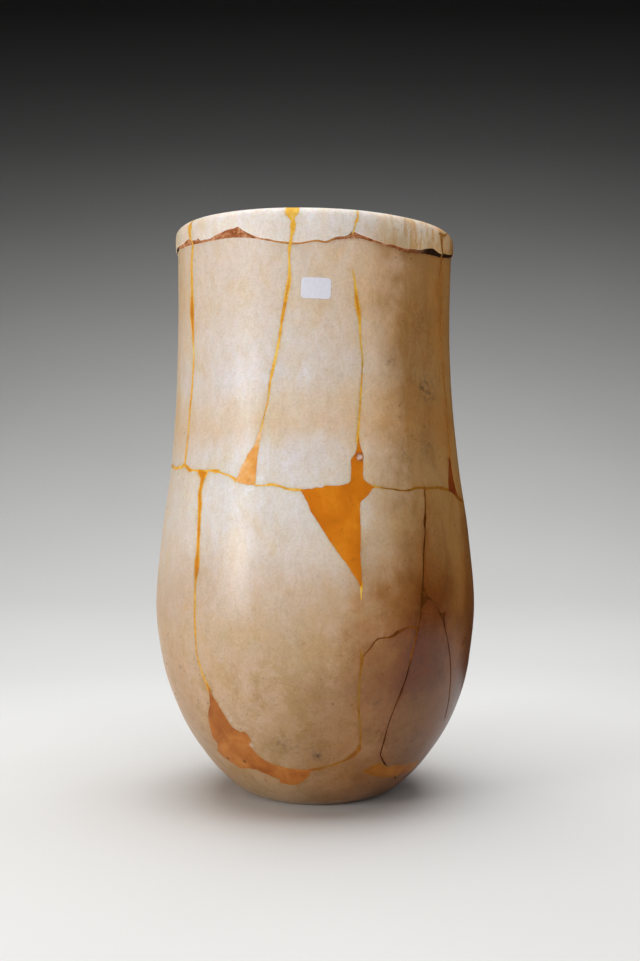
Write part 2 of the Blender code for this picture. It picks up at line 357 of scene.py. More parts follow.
# -------------------------------------------------- what is on the sheet -----
# mending seams of orange resin: (x, y, half width) in the frame
SEAMS = [
    # left seam, rim to the mid-height crack
    [(190.2, 219, 1.0), (189.7, 226, 1.7), (189.4, 232, 1.4),
     (190.6, 239, .7), (191.2, 246, .8), (191.6, 260, .9), (191.7, 275, 1.0),
     (191.9, 290, 1.1), (191.8, 299, 1.7), (191.9, 312, 2.3),
     (192.5, 325, 1.5), (193.1, 340, .8), (193.8, 357, .7), (192.1, 386, .8),
     (190, 409, .8), (187.9, 437, .7), (184.6, 464, .9)],
    # second seam, rim to the slim wedge
    [(293.4, 219, 1.3), (293.2, 224.5, 2.9), (292.6, 231, 2.1),
     (291.5, 238, 1.2), (290.6, 243, 1.3), (289.3, 248, 1.7),
     (288.9, 255, 1.1), (289.4, 262, 1.0), (289.3, 270, 1.3),
     (289.5, 277, 1.9), (288.1, 286, 2.4), (286.2, 296, 2.3),
     (284.4, 306, 1.7), (282.6, 316, 1.7), (281, 327, 1.2),
     (279.4, 338, 1.3), (276.3, 354.5, 1.4), (273.9, 365, 1.7),
     (270, 382, 1.0), (267.9, 401, .9), (266, 408, .6), (263.6, 418, .5),
     (260.6, 431, .8)],
    # third seam, waist of the neck to the central fill
    [(352.6, 270, .5), (353.6, 275, .6), (355, 281, .9), (355.6, 288, 1.3),
     (356.2, 296, 1.9), (357.4, 304, 2.5), (358.3, 310, 2.4),
     (359.6, 318, 1.6), (360, 327, 1.2), (360.5, 340, .9), (362.3, 355, .7),
     (362.6, 361, .7), (362, 376, .7), (361, 390, .9), (360.5, 399, 1),
     (359.6, 412, .8), (358.8, 424, 1), (358, 434, 1.3), (357.6, 442, 1.9)],
    # faint top of the third seam, over the lip
    [(357.6, 209, .6), (356.6, 216, .5), (356, 221, .7), (354.6, 228, .6),
     (353, 233, .7)],
    # seam down the left of the belly
    [(202.8, 478, 2.0), (201.0, 485, 1.6), (199.4, 495, 1.7),
     (199.9, 504, 2.1), (199.4, 512, 1.6), (199.2, 519, 1.6),
     (198.6, 530, 1.6), (198.2, 542, 1.5), (197.7, 552, 1.8),
     (197.2, 560, 2.5), (196.6, 568, 2.4), (195.8, 577, 1.5),
     (195.3, 584, 1.0), (194.8, 605, .9), (194.7, 618, .8), (195.2, 630, .9),
     (195.9, 645, .6), (196.3, 652.6, .6), (198.6, 661, .7),
     (201.6, 671.6, .8), (205.4, 681, 1.1), (209.2, 690, 1.9)],
    # mid-height crack, left part
    [(171.5, 464.5, .9), (174, 467.5, 1.2), (176.5, 468.4, 1.6),
     (179.5, 467.2, 1.2), (181.5, 467.6, 1.3), (184.2, 464.2, 1.9),
     (187, 467.4, 1.6), (189.3, 470, 1.9), (193, 470.2, 1.0),
     (199, 471, 1.3)],
    [(206, 471, .9), (209, 470.4, .8), (212, 470.6, 1.2), (215.6, 471.2, 2.1),
     (218.5, 471.4, 1.5), (220.4, 472.6, .7), (224.5, 474.2, .7),
     (229, 475.4, .8), (232, 477.2, 1.2), (236, 480.3, 2.0)],
    [(254, 484.4, 1.1), (258, 485.6, .8), (263.8, 485.6, .7),
     (269, 484.6, 1.3), (272.5, 484.6, 1.2), (280, 486.2, .9),
     (285, 488.3, .9), (289.9, 489.3, 1), (294, 489.6, 1.1),
     (302, 490.2, 1.5)],
    # mid-height crack, right part
    [(374, 486.2, 1.6), (377, 487, 1.1), (381, 487.6, .7), (387.2, 488.6, .8),
     (394, 489.2, .8), (400, 490.4, .9), (406, 490.6, .9), (411, 489.8, 1.0),
     (415, 488.2, 1.4), (420, 487.6, 1.3), (425.1, 488.2, 1.6),
     (431, 488, 1.3), (437.8, 487.4, 1.5), (445, 489, 1.3),
     (450, 490.4, 1.5)],
    [(454, 493.5, 1.4), (457, 497, 1.4), (460.7, 500.4, 1.5),
     (464, 503, 1.2)],
    # seam under the central fill, and its soft run along the bowl
    [(361.6, 583, 1.6), (361.2, 594, 1.0), (361.2, 600, .6)],
    [(361.5, 650, .6), (361.8, 655, 1.4), (362, 661, 1.7), (360.6, 672, 1.2),
     (359.3, 684, 1.0), (358.7, 697, 1.4), (358.2, 707, 1.1),
     (359.4, 717, 1.3), (360.3, 728, .9), (360.5, 742, 1.2),
     (358.6, 750, 2.3), (353, 755.5, 1.8), (345.7, 760, 1.1),
     (335, 764.3, 1.0), (324, 767.6, .8), (310, 770, 1.3)],
]
# open cracks with dark brown in them
CRACKS = [
    [(424.6, 489, .9), (425.2, 500, .6), (425.5, 512, .8), (425, 519, 1.5),
     (424.6, 525, 1.1), (425.2, 530, .5), (424.8, 538, .6), (423.8, 550, .9),
     (423.6, 563, .7), (423.3, 575, .6), (423, 583, .7), (422.6, 592, 1.4),
     (421.8, 604, 1.2), (420.8, 615, .9), (419.2, 624, .8), (417.2, 631, .9),
     (416, 638, .7), (413.6, 647, .7), (411, 658, .9), (409, 667, .8),
     (406.5, 677, .7), (403, 687, .8), (400.2, 694.6, 1.2), (397, 702, .7),
     (393.8, 710, .5), (390.4, 719, .42), (387.4, 728, .42),
     (385.4, 736, .7), (384.3, 741, .9), (382, 748, .5), (380.3, 755, .6),
     (383, 761, .9), (386, 766, 1.2), (390, 772, 1.0), (396, 779, .6)],
    [(362.4, 658, .9), (365, 654, .6), (368.3, 650.5, .7), (372, 646, .7),
     (374.6, 642, .8), (378, 638.6, .7), (383, 638, .8), (389, 637.6, .9),
     (394, 635.5, 1.4), (397.5, 632.5, 1.8), (402, 630, 1.0),
     (406, 628.2, .7), (410, 626.6, .7), (413.5, 627, 1.2),
     (417.4, 629.2, 1.5)],
    [(428, 597, 1.2), (432.8, 600.6, .8), (436, 605, .6), (439.4, 611, .8)],
    [(443.4, 619, 1.1), (445.2, 628, .6), (447.3, 637, .5), (448.8, 648, .5),
     (450.2, 661, .6), (450.6, 672, .5), (450.2, 682, .5), (449.4, 692, .45),
     (448.6, 700, .42), (446.8, 710, .4), (444.8, 718, .36)],
    [(441, 229, 1.0), (441.4, 236, 1.3), (441.6, 244, .9), (441.2, 255, .7),
     (440.6, 267, .7), (439.6, 281, .6), (439.8, 290, .8), (440.4, 298, .8),
     (440.8, 320, .5), (441.5, 341, .6), (443, 362, .6), (444.6, 382, .6),
     (446.4, 405, .6), (447.8, 424, .6), (448.6, 436, .8), (449.4, 448, 1.0),
     (449.5, 460, 1.3)],
]
# small blots: resin, and dark nodes where cracks meet
RESIN_BLOTS = [
    [(197.6, 469.2), (207.2, 470), (207.8, 473.5), (205.2, 478.3),
     (202.8, 480.5), (200, 478.2), (198.2, 474)],
    [(362, 772), (368, 768), (375, 763.8), (381, 762.2), (384.4, 765.2),
     (388.5, 767.2), (393, 765.6), (398, 764.4), (405, 765.2), (411.5, 762.6),
     (418, 760.2), (417, 765.5), (411, 771), (403, 774), (394, 777),
     (386, 778), (377, 777), (369, 775)],
]
DARK_BLOTS = [
    [(422.0, 587), (424.4, 588), (427.6, 596), (430.4, 598.6),
     (427.2, 600.6), (424.4, 604.6), (422.2, 607)],
    [(438.6, 611), (442, 613.2), (446.4, 612), (445.4, 616.5), (444, 621.4),
     (442, 619.6), (440, 615.6)],
]
# fills, each for a node of the frame
FILLS = {
    "belly_fill_centre": [
        (300, 489.6), (306, 489.2), (311.5, 488.6), (316, 487.4),
        (321.8, 487.8), (324.7, 485.9), (331, 485.6), (339, 485.5),
        (345, 484.6), (349.6, 483), (351, 478), (351.1, 470), (350.9, 460),
        (352.8, 456.8), (355.1, 454.2), (356.6, 449), (357.4, 443),
        (358.6, 436), (359.9, 443), (361.2, 449), (362.8, 452.6),
        (363.6, 458), (363.1, 466), (363.2, 478), (364.8, 480.6),
        (366.8, 482.2), (370.6, 485), (375.8, 486.9), (371.6, 489.7),
        (370.2, 492.6), (367.7, 495.6), (363.6, 499.6), (360.8, 502.6),
        (359.9, 509), (360.2, 520), (361, 535.5), (360.4, 550),
        (361.1, 566), (361.9, 584), (360.6, 586.6), (357.4, 580.4),
        (349.7, 568.9), (344, 560.6), (339.5, 554.6), (333.4, 546.6),
        (327.4, 536.8), (319.2, 524.2), (311.5, 512.4), (306.6, 501)],
    "neck_fill_left": [
        (259.9, 430), (261, 434), (260.3, 440.5), (258.6, 448.4),
        (257.4, 456), (256.8, 463.4), (255.8, 474), (255.3, 485),
        (249, 484.8), (243, 483.6), (238.4, 482.2), (235, 480.2),
        (237.6, 476.6), (239.2, 472), (241, 467), (244.3, 461.8),
        (247.6, 454.7), (252.4, 447.6), (254.8, 443.4), (256.8, 438.4),
        (258.2, 433.4)],
    "neck_fill_right": [
        (449.0, 456.6), (450, 458.4), (451.2, 465), (452.4, 472),
        (453.8, 480.5), (455.8, 488.6), (458.4, 497), (454.6, 495),
        (450.6, 492), (448.6, 490.4), (448.4, 481), (448.7, 470)],
    "bowl_fill_left": [
        (208.9, 687), (210.6, 691.6), (213.4, 697), (216.5, 701.6),
        (220.4, 708.6), (225.7, 717.2), (229, 722.6), (232.4, 727.2),
        (236.4, 730), (240.4, 732.6), (244.2, 731.4), (247.2, 734.2),
        (249.8, 738), (251.4, 741.4), (250, 745), (252.4, 749.2),
        (255.6, 753), (260.4, 757.6), (266.4, 761.6), (273.7, 764.2),
        (282, 766.4), (290, 768.4), (300, 769.2), (311.9, 769.6),
        (308.4, 776.7), (302.4, 781.6), (296.4, 785), (288, 784.4),
        (280.8, 782.9), (279.2, 779.4), (272.4, 776.6), (265.5, 773.7),
        (256.4, 769.6), (249.4, 768.4), (241, 768.6), (234.9, 764.7),
        (228.6, 760.4), (221.6, 755.5), (217.6, 750.4), (217.6, 743),
        (212.6, 737), (210.6, 729.6), (208.9, 722.4), (208.2, 713.5),
        (209.6, 705), (209.4, 696.6)],
}
RIM_SEEN = [(285.6, 209.8), (287.0, 214.0), (288.2, 217.4), (291.5, 222.4),
            (294.6, 219.2), (296.4, 215.2), (298.6, 209.8)]
# light hairlines, only drawn
HAIRS = [
    [(393, 397), (387, 402.5), (381.5, 409.5), (376, 419), (371, 430.5),
     (367.6, 438), (364.7, 447)],
    [(329, 287.2), (339, 282.8), (347, 280), (354, 279.2), (361, 280),
     (369, 281.4), (382, 285)],
    [(361.2, 599), (361.4, 612), (361.5, 626), (361.3, 640), (361.6, 652)],
    [(352.4, 238), (352.2, 248), (352, 258), (351.6, 268)],
    [(362.6, 395), (371, 387), (381.5, 378)],
]
# seams and cracks round the back: (angle, height mm, half width mm)
BACK_SEAMS = [
    [(-74, 235, .8), (-82, 233, .7), (-90, 236, 1.0), (-98, 232, .6),
     (-106, 228, .7), (-114, 229, 1.6), (-119, 227, .8), (-128, 224, .6),
     (-137, 226, .7), (-146, 221, 1.3), (-155, 218, .8), (-164, 219, .6),
     (-172, 216, .8), (-178.6, 215, .5)],
    [(74, 206, .9), (83, 204, .8), (92, 207, 1.2), (101, 209, .7),
     (110, 206, .6), (119, 208, .8), (127, 211, 1.4), (137, 212, .7),
     (148, 210, .7), (158, 213, 1.0), (168, 216, .7), (178.6, 215, .5)],
    [(-112, 394, .7), (-113, 384, .8), (-115, 360, .9), (-114, 330, .7),
     (-113, 300, 1.3), (-116, 270, .8), (-114, 245, .8), (-114, 231, 1.3)],
    [(-146, 220, 1.2), (-147, 195, .9), (-144, 165, .8), (-146, 135, 1.2),
     (-143, 105, .8), (-137, 76, .7), (-130, 52, .9), (-124, 34, .8)],
    [(160, 392, .7), (161, 378, .7), (158, 350, .9), (159, 315, .7),
     (156, 280, 1.1), (158, 245, .8), (158, 215, 1.3)],
]
BACK_CRACKS = [
    [(110, 206, .7), (111, 180, .5), (114, 150, .6), (113, 120, .45),
     (118, 92, .6), (124, 64, .5), (131, 42, .45)],
    [(148, 210, .6), (150, 170, .45), (154, 130, .5), (152, 95, .45),
     (156, 70, .4)],
    [(114, 150, .6), (126, 141, .5), (138, 137, .5), (153, 128, .6)],
    [(119, 391, .5), (120, 370, .5), (118, 330, .45), (121, 290, .4),
     (119, 250, .5), (119, 208, .8)],
]

GRID = 0.0004
NU = int(round(WIDTH / GRID)) + 1
NS = int(round(S_END / GRID)) + 1
DU, DS = WIDTH / (NU - 1), S_END / (NS - 1)
FAR = 0.012


def radius_at(s):
    return np.interp(s, PS, PROF[:, 0])


class Field:
    """Signed distance, in metres, to something drawn on the sheet."""

    def __init__(self):
        self.f = np.full((NU, NS), FAR, np.float32)

    def window(self, u0, u1, s0, s1, pad=0.010):
        i0 = max(int((u0 - pad + WIDTH / 2) / DU), 0)
        i1 = min(int((u1 + pad + WIDTH / 2) / DU) + 2, NU)
        j0 = max(int((s0 - pad) / DS), 0)
        j1 = min(int((s1 + pad) / DS) + 2, NS)
        u = -WIDTH / 2 + DU * np.arange(i0, i1)
        s = DS * np.arange(j0, j1)
        return (slice(i0, i1), slice(j0, j1)), u[:, None], s[None, :]

    def line(self, pts):
        for (u0, s0, w0), (u1, s1, w1) in zip(pts, pts[1:]):
            where, u, s = self.window(min(u0, u1), max(u0, u1),
                                      min(s0, s1), max(s0, s1))
            k = float(radius_at((s0 + s1) / 2)) / R0
            ax, ay = (u1 - u0) * k, s1 - s0
            n = ax * ax + ay * ay + 1e-12
            px, py = (u - u0) * k, s - s0
            t = np.clip((px * ax + py * ay) / n, 0, 1)
            d = np.hypot(px - ax * t, py - ay * t) - (w0 + (w1 - w0) * t)
            self.f[where] = np.minimum(self.f[where], d)

    def area(self, pts):
        pts = np.asarray(pts)
        where, u, s = self.window(pts[:, 0].min(), pts[:, 0].max(),
                                  pts[:, 1].min(), pts[:, 1].max())
        k = float(radius_at(pts[:, 1].mean())) / R0
        best = np.full((u.shape[0], s.shape[1]), 1.0)
        inside = np.zeros(best.shape, bool)
        for (u0, s0), (u1, s1) in zip(pts, np.roll(pts, -1, 0)):
            ax, ay = (u1 - u0) * k, s1 - s0
            n = ax * ax + ay * ay + 1e-14
            px, py = (u - u0) * k, s - s0
            t = np.clip((px * ax + py * ay) / n, 0, 1)
            best = np.minimum(best, np.hypot(px - ax * t, py - ay * t))
            if s0 != s1:
                cross = ((s0 > s) != (s1 > s)) & (
                    u < (u1 - u0) * (s - s0) / (s1 - s0) + u0)
                inside ^= cross
        d = np.where(inside, -best, best)
        self.f[where] = np.minimum(self.f[where], d)

    def ragged(self, amount, size, seed):
        """Roughens the edges with noise of a size along the sheet."""
        rng = np.random.default_rng(seed)
        for k, share in ((1.0, 0.65), (0.42, 0.35)):
            nu, ns = int(WIDTH / size / k) + 2, int(S_END / size / k) + 2
            knots = rng.uniform(-1, 1, (nu, ns)).astype(np.float32)
            knots[-1] = knots[-2] = knots[0]
            fu = np.linspace(0, nu - 2, NU)
            fs = np.linspace(0, ns - 2, NS)
            i, j = fu.astype(int), fs.astype(int)
            tu, ts = fu - i, fs - j
            tu, ts = tu * tu * (3 - 2 * tu), ts * ts * (3 - 2 * ts)
            i1, j1 = np.minimum(i + 1, nu - 1), np.minimum(j + 1, ns - 1)
            a = (knots[i][:, j] * (1 - tu)[:, None]
                 + knots[i1][:, j] * tu[:, None])
            b = (knots[i][:, j1] * (1 - tu)[:, None]
                 + knots[i1][:, j1] * tu[:, None])
            self.f += (share * amount * (a * (1 - ts) + b * ts)).astype(
                np.float32)

    def at(self, uv):
        fu = np.clip((uv[:, 0] + WIDTH / 2) / DU, 0, NU - 1.001)
        fs = np.clip(uv[:, 1] / DS, 0, NS - 1.001)
        i, j = fu.astype(int), fs.astype(int)
        a, b = fu - i, fs - j
        f = self.f
        return ((f[i, j] * (1 - a) + f[i + 1, j] * a) * (1 - b)
                + (f[i, j + 1] * (1 - a) + f[i + 1, j + 1] * a) * b)

    def outlines(self):
        """Closed outlines of the part below zero, evenly spaced points."""
        f = self.f
        neg = f < 0
        case = (neg[:-1, :-1] * 1 + neg[1:, :-1] * 2 + neg[1:, 1:] * 4
                + neg[:-1, 1:] * 8)
        ii, jj = np.nonzero((case > 0) & (case < 15))
        # cell sides: 0 low s, 1 high u, 2 high s, 3 low u
        sides = {1: [(3, 0)], 2: [(0, 1)], 3: [(3, 1)], 4: [(1, 2)],
                 5: [(3, 0), (1, 2)], 6: [(0, 2)], 7: [(3, 2)],
                 8: [(2, 3)], 9: [(2, 0)], 10: [(0, 1), (2, 3)],
                 11: [(2, 1)], 12: [(1, 3)], 13: [(1, 0)], 14: [(0, 3)]}
        links, place = {}, {}

        def point(i, j, side):
            if side == 0:
                key, a, b = (0, i, j), (i, j), (i + 1, j)
            elif side == 2:
                key, a, b = (0, i, j + 1), (i, j + 1), (i + 1, j + 1)
            elif side == 3:
                key, a, b = (1, i, j), (i, j), (i, j + 1)
            else:
                key, a, b = (1, i + 1, j), (i + 1, j), (i + 1, j + 1)
            if key not in place:
                fa, fb = float(f[a]), float(f[b])
                t = fa / (fa - fb)
                place[key] = ((a[0] + (b[0] - a[0]) * t) * DU - WIDTH / 2,
                              (a[1] + (b[1] - a[1]) * t) * DS)
            return key

        for i, j in zip(ii.tolist(), jj.tolist()):
            for p, q in sides[int(case[i, j])]:
                a, b = point(i, j, p), point(i, j, q)
                links.setdefault(a, []).append(b)
                links.setdefault(b, []).append(a)
        loops, used = [], set()
        for start in links:
            if start in used:
                continue
            chain, here, before = [start], start, None
            used.add(start)
            while True:
                step = [n for n in links[here] if n != before]
                nxt = next((n for n in step if n not in used), None)
                if nxt is None:
                    break
                used.add(nxt)
                chain.append(nxt)
                before, here = here, nxt
            loops.append(np.array([place[c] for c in chain]))
        return loops


def even(loop, spacing):
    k = radius_at(loop[:, 1].mean()) / R0
    closed = np.vstack([loop, loop[:1]])
    d = np.hypot(np.diff(closed[:, 0]) * k, np.diff(closed[:, 1]))
    run = np.concatenate([[0], np.cumsum(d)])
    n = int(round(run[-1] / spacing))
    if run[-1] < 0.0022 or n < 4:
        return None
    at = np.linspace(0, run[-1], n, endpoint=False)
    return np.stack([np.interp(at, run, closed[:, 0]),
                     np.interp(at, run, closed[:, 1])], 1)


def seam_on_sheet(line, inside=False, thin=1.0):
    """A seam of the frame with true half widths on the sheet."""
    pts = np.array([(x, y) for x, y, _ in line], float)
    half = np.array([w for _, _, w in line], float)
    d = np.gradient(pts, axis=0)
    d /= np.linalg.norm(d, axis=1)[:, None] + 1e-9
    side = np.stack([-d[:, 1], d[:, 0]], 1)
    mid = on_sheet(pts, inside)
    a = on_sheet(pts + side * 0.6)
    b = on_sheet(pts - side * 0.6)
    k = radius_at((a[:, 1] + b[:, 1]) / 2) / R0
    ax, ay = (a[:, 0] - b[:, 0]) * k, a[:, 1] - b[:, 1]
    along = np.gradient(on_sheet(pts), axis=0)
    lx, ly = along[:, 0] * k, along[:, 1]
    n = np.hypot(lx, ly) + 1e-9
    across = np.abs(ax * ly - ay * lx) / n / 1.2
    w = half * np.minimum(across, 0.0021) * thin
    return [(float(p[0]), float(p[1]), float(v)) for p, v in zip(mid, w)]


def back_on_sheet(line, inside=False, thin=1.0):
    out = []
    for a, z, w in line:
        z = float(to_param(a, z / 1000))
        s = float(s_in(z) if inside else s_out(z))
        out.append((math.radians(a) * R0, s, w / 1000 * thin))
    return out


seam_field, dark_field, hair_field = Field(), Field(), Field()
fill_fields = {name: Field() for name in (*FILLS, "rim_fill")}

for inside, thin in ((False, 1.0), (True, 0.8)):
    for line in SEAMS:
        if not (inside and line[0][1] < 215):
            seam_field.line(seam_on_sheet(line, inside, thin))
    for line in BACK_SEAMS:
        seam_field.line(back_on_sheet(line, inside, thin))
    for line in CRACKS:
        dark_field.line(seam_on_sheet(line, inside, thin))
    for line in BACK_CRACKS:
        dark_field.line(back_on_sheet(line, inside, thin))
    for name, outline in FILLS.items():
        fill_fields[name].area(on_sheet(outline, inside))
for outline in RESIN_BLOTS:
    seam_field.area(on_sheet(outline))
for outline in DARK_BLOTS:
    dark_field.area(on_sheet(outline))
for line in HAIRS:
    hair_field.line([(*p, 0.0) for p in on_sheet(line)])

# the seams that cross the rim run on over its top to the inside
S_TOP_OUT = float(s_out(0.393))
S_TOP_IN = float(s_in(0.372)) + 0.002
for x, w in ((190.2, 0.0013), (357.4, 0.0005)):
    a = float(on_sheet([(x, 221)])[0, 0])
    seam_field.line([(a, S_TOP_OUT - 0.001, w), (a + 0.0006, S_CREST, w),
                     (a - 0.0004, S_INNER, w * 0.8), (a, S_TOP_IN, w * 0.7)])
for a_deg, w in ((-112, 0.0007), (160, 0.0007)):
    a = math.radians(a_deg) * R0
    seam_field.line([(a, S_TOP_OUT - 0.001, w), (a + 0.0004, S_CREST, w),
                     (a, S_TOP_IN, w * 0.8)])
a = math.radians(70) * R0
dark_field.line([(float(on_sheet([(441, 230)])[0, 0]), S_TOP_OUT, 0.0009),
                 (a, S_CREST, 0.0007), (a + 0.001, S_TOP_IN, 0.0005)])

# the notch in the mouth: its seen outer part, then over the top and inside
seen = on_sheet(RIM_SEEN)
left, right = float(seen[0, 0]), float(seen[-1, 0])
tip = float(s_in(0.372)) - 0.003
fill_fields["rim_fill"].area(
    [(left - 0.0004, S_CREST), *[tuple(p) for p in seen],
     (right + 0.0003, S_CREST), (right - 0.0012, S_INNER),
     (0.5 * (left + right) + 0.0012, tip + 0.004),
     (0.5 * (left + right), tip + 0.0075),
     (0.5 * (left + right) - 0.0010, tip + 0.004),
     (left + 0.0014, S_INNER)])

seam_field.ragged(0.00027, 0.0028, 11)
dark_field.ragged(0.00016, 0.0026, 12)
for n, field in enumerate(fill_fields.values()):
    field.ragged(0.00034, 0.0030, 20 + n)

# nothing is drawn across the line at the back where the sheet is cut
edge_u = WIDTH / 2 - np.abs(-WIDTH / 2 + DU * np.arange(NU))
shy = np.clip(0.0022 - edge_u, 0, None).astype(np.float32) * 8
for field in (seam_field, dark_field, *fill_fields.values()):
    field.f += shy[:, None]
    field.f[:, :3] = np.maximum(field.f[:, :3], 0.001)
    field.f[:, -3:] = np.maximum(field.f[:, -3:], 0.001)


# ------------------------------------------------ triangulating the sheet ----
def sheet_mesh():
    coords, edges, kinds = [], [], []

    def add_loop(loop, kind):
        base = len(coords)
        coords.extend(map(tuple, loop))
        n = len(loop)
        for i in range(n):
            edges.append((base + i, base + (i + 1) % n))
            kinds.append(kind)

    for field in (*fill_fields.values(), seam_field, dark_field):
        for loop in field.outlines():
            front = abs(loop[:, 0].mean()) < 0.17 and loop[:, 1].mean() < S_TOP_IN
            loop = even(loop, 0.00072 if front else 0.0012)
            if loop is not None:
                add_loop(loop, 1)

    # the two lines of the lip's broken edge, and the crisp foot of the band
    theta = np.linspace(-180, 180, 861)
    hi = np.interp(theta, LIP_T, LIP_HI)
    lo = np.interp(theta, LIP_T, LIP_LO)
    ends = []
    for z_real in (lo, hi, hi + 0.00036):
        s = s_out(to_param(theta, z_real))
        s[-1] = s[0]
        base = len(coords)
        coords.extend(zip((np.radians(theta) * R0).tolist(), s.tolist()))
        for i in range(len(theta) - 1):
            edges.append((base + i, base + i + 1))
            kinds.append(2)
        ends.append((base, base + len(theta) - 1, float(s[0])))

    # the border of the sheet
    s_side = np.concatenate([
        np.arange(0, S_TOP_OUT - 0.02, 0.0036),
        np.arange(S_TOP_OUT - 0.02, S_TOP_IN + 0.004, 0.0012),
        np.arange(S_TOP_IN + 0.004, S_END - 0.003, 0.006), [S_END]])
    s_ends = [e[2] for e in ends]
    s_side = s_side[[all(abs(v - e) > 0.0005 for e in s_ends) for v in s_side]]
    sides = []
    for which, u in ((0, -WIDTH / 2), (1, WIDTH / 2)):
        rows = [(float(v), None) for v in s_side]
        rows += [(e[2], e[which]) for e in ends]
        rows.sort(key=lambda q: q[0])
        column = []
        for v, have in rows:
            if have is None:
                have = len(coords)
                coords.append((u, v))
            column.append(have)
        sides.append(column)
        for a, b in zip(column, column[1:]):
            edges.append((a, b))
            kinds.append(0)
    rims = []
    n_rim = 168
    for s, which in ((0.0, 0), (S_END, -1)):
        row = [sides[0][which]]
        for i in range(1, n_rim):
            row.append(len(coords))
            coords.append((-WIDTH / 2 + WIDTH * i / n_rim, s))
        row.append(sides[1][which])
        rims.append(row)
        for a, b in zip(row, row[1:]):
            edges.append((a, b))
            kinds.append(0)

    # points between, close where something is drawn and wide elsewhere
    near = np.minimum(np.abs(seam_field.f), np.abs(dark_field.f))
    for field in fill_fields.values():
        near = np.minimum(near, np.abs(field.f))
    near_field = Field()
    near_field.f = near

    for level in (0.0009, 0.0023, 0.0040, 0.0070):
        h = level
        rows = int(S_END / (h * 0.866))
        pts = []
        for j in range(1, rows):
            s = j * S_END / rows
            n = int(WIDTH / h)
            u = (np.arange(n) + (0.25 if j % 2 else 0.75)) * WIDTH / n - WIDTH / 2
            pts.append(np.stack([u, np.full(n, s)], 1))
        pts = np.concatenate(pts)
        u, s = pts[:, 0], pts[:, 1]
        d = near_field.at(pts)
        front = np.abs(u) < 0.170
        on_lip = (s > S_TOP_OUT - 0.001) & (s < S_TOP_IN - 0.004)
        want = np.where(s > S_TOP_IN, 0.0070, np.where(front, 0.0023, 0.0040))
        want = np.where(on_lip, np.where(front, 0.0023, 0.0040), want)
        want = np.where((s > S_TOP_OUT - 0.001) & (s < S_TOP_IN), 0.0023, want)
        close = np.where((s < S_TOP_IN) & front, 0.0021, 0.0008)
        want = np.where(d < close, 0.0009, want)
        want = np.where((d < 0.006) & (want > 0.0023) & (s > S_TOP_IN),
                        0.0040, want)
        theta_deg = np.degrees(u / R0)
        z_real = np.interp(s, PS, PROF[:, 1])
        x = drift(z_real) + neck_r(z_real) * np.sin(u / R0)
        z_real = z_real - dip(x, z_real)
        up = np.interp(theta_deg, LIP_T, LIP_HI)
        dn = np.interp(theta_deg, LIP_T, LIP_LO)
        outer = s < S_CREST
        edge = np.minimum(np.abs(z_real - up), np.abs(z_real - dn))
        edge = np.where((z_real < up) & (z_real > dn), np.minimum(edge, 0.001),
                        edge)
        edge = np.where(outer, edge, 1.0)
        want = np.where((edge < 0.0018) & (want > 0.0009),
                        np.where(front, 0.0009, 0.0023), want)
        hair = np.abs(hair_field.at(pts))
        want = np.where(hair < 0.0016, 0.0009, want)
        keep = want == level
        keep &= np.abs(WIDTH / 2 - np.abs(u)) > 0.35 * h
        keep &= (s > 0.4 * h) & (s < S_END - 0.4 * h)
        gap = 0.00042 if level < 0.001 else 0.0007
        keep &= (d > gap) & (edge > gap)
        keep &= ~(outer & (np.abs(z_real - up - 0.00036) < 0.0004))
        coords.extend(map(tuple, pts[keep]))

    # fine rows along the light hairlines
    for line in HAIRS:
        p = on_sheet(line)
        seg = np.hypot(*np.diff(p, axis=0).T)
        run = np.concatenate([[0], np.cumsum(seg)])
        at = np.arange(0, run[-1], 0.0008)
        q = np.stack([np.interp(at, run, p[:, 0]),
                      np.interp(at, run, p[:, 1])], 1)
        t = np.gradient(q, axis=0)
        t /= np.linalg.norm(t, axis=1)[:, None] + 1e-12
        side = np.stack([-t[:, 1], t[:, 0]], 1)
        for off in (-0.00034, 0.0, 0.00034):
            cand = q + side * off
            cand = cand[near_field.at(cand) > 0.0003]
            coords.extend(map(tuple, cand))

    verts, eds, faces, _, orig_e, _ = delaunay_2d_cdt(
        [Vector(c) for c in coords], edges, [], 0, 2e-6)
    uv = np.array([(v.x, v.y) for v in verts])
    tri = np.array([f for f in faces if len(f) == 3], dtype=np.int64)
    a, b, c = uv[tri[:, 0]], uv[tri[:, 1]], uv[tri[:, 2]]
    area = ((b - a)[:, 0] * (c - a)[:, 1] - (b - a)[:, 1] * (c - a)[:, 0])
    flip = area < 0
    tri[flip] = tri[flip][:, [0, 2, 1]]
    keep = np.abs(area) > 1e-13
    tri, area = tri[keep], np.abs(area[keep])
    fixed = {}
    for e, src in zip(eds, orig_e):
        ks = {kinds[k] for k in src if k < len(kinds)}
        if ks:
            fixed[(min(e), max(e))] = ks
    return uv, tri, area, fixed


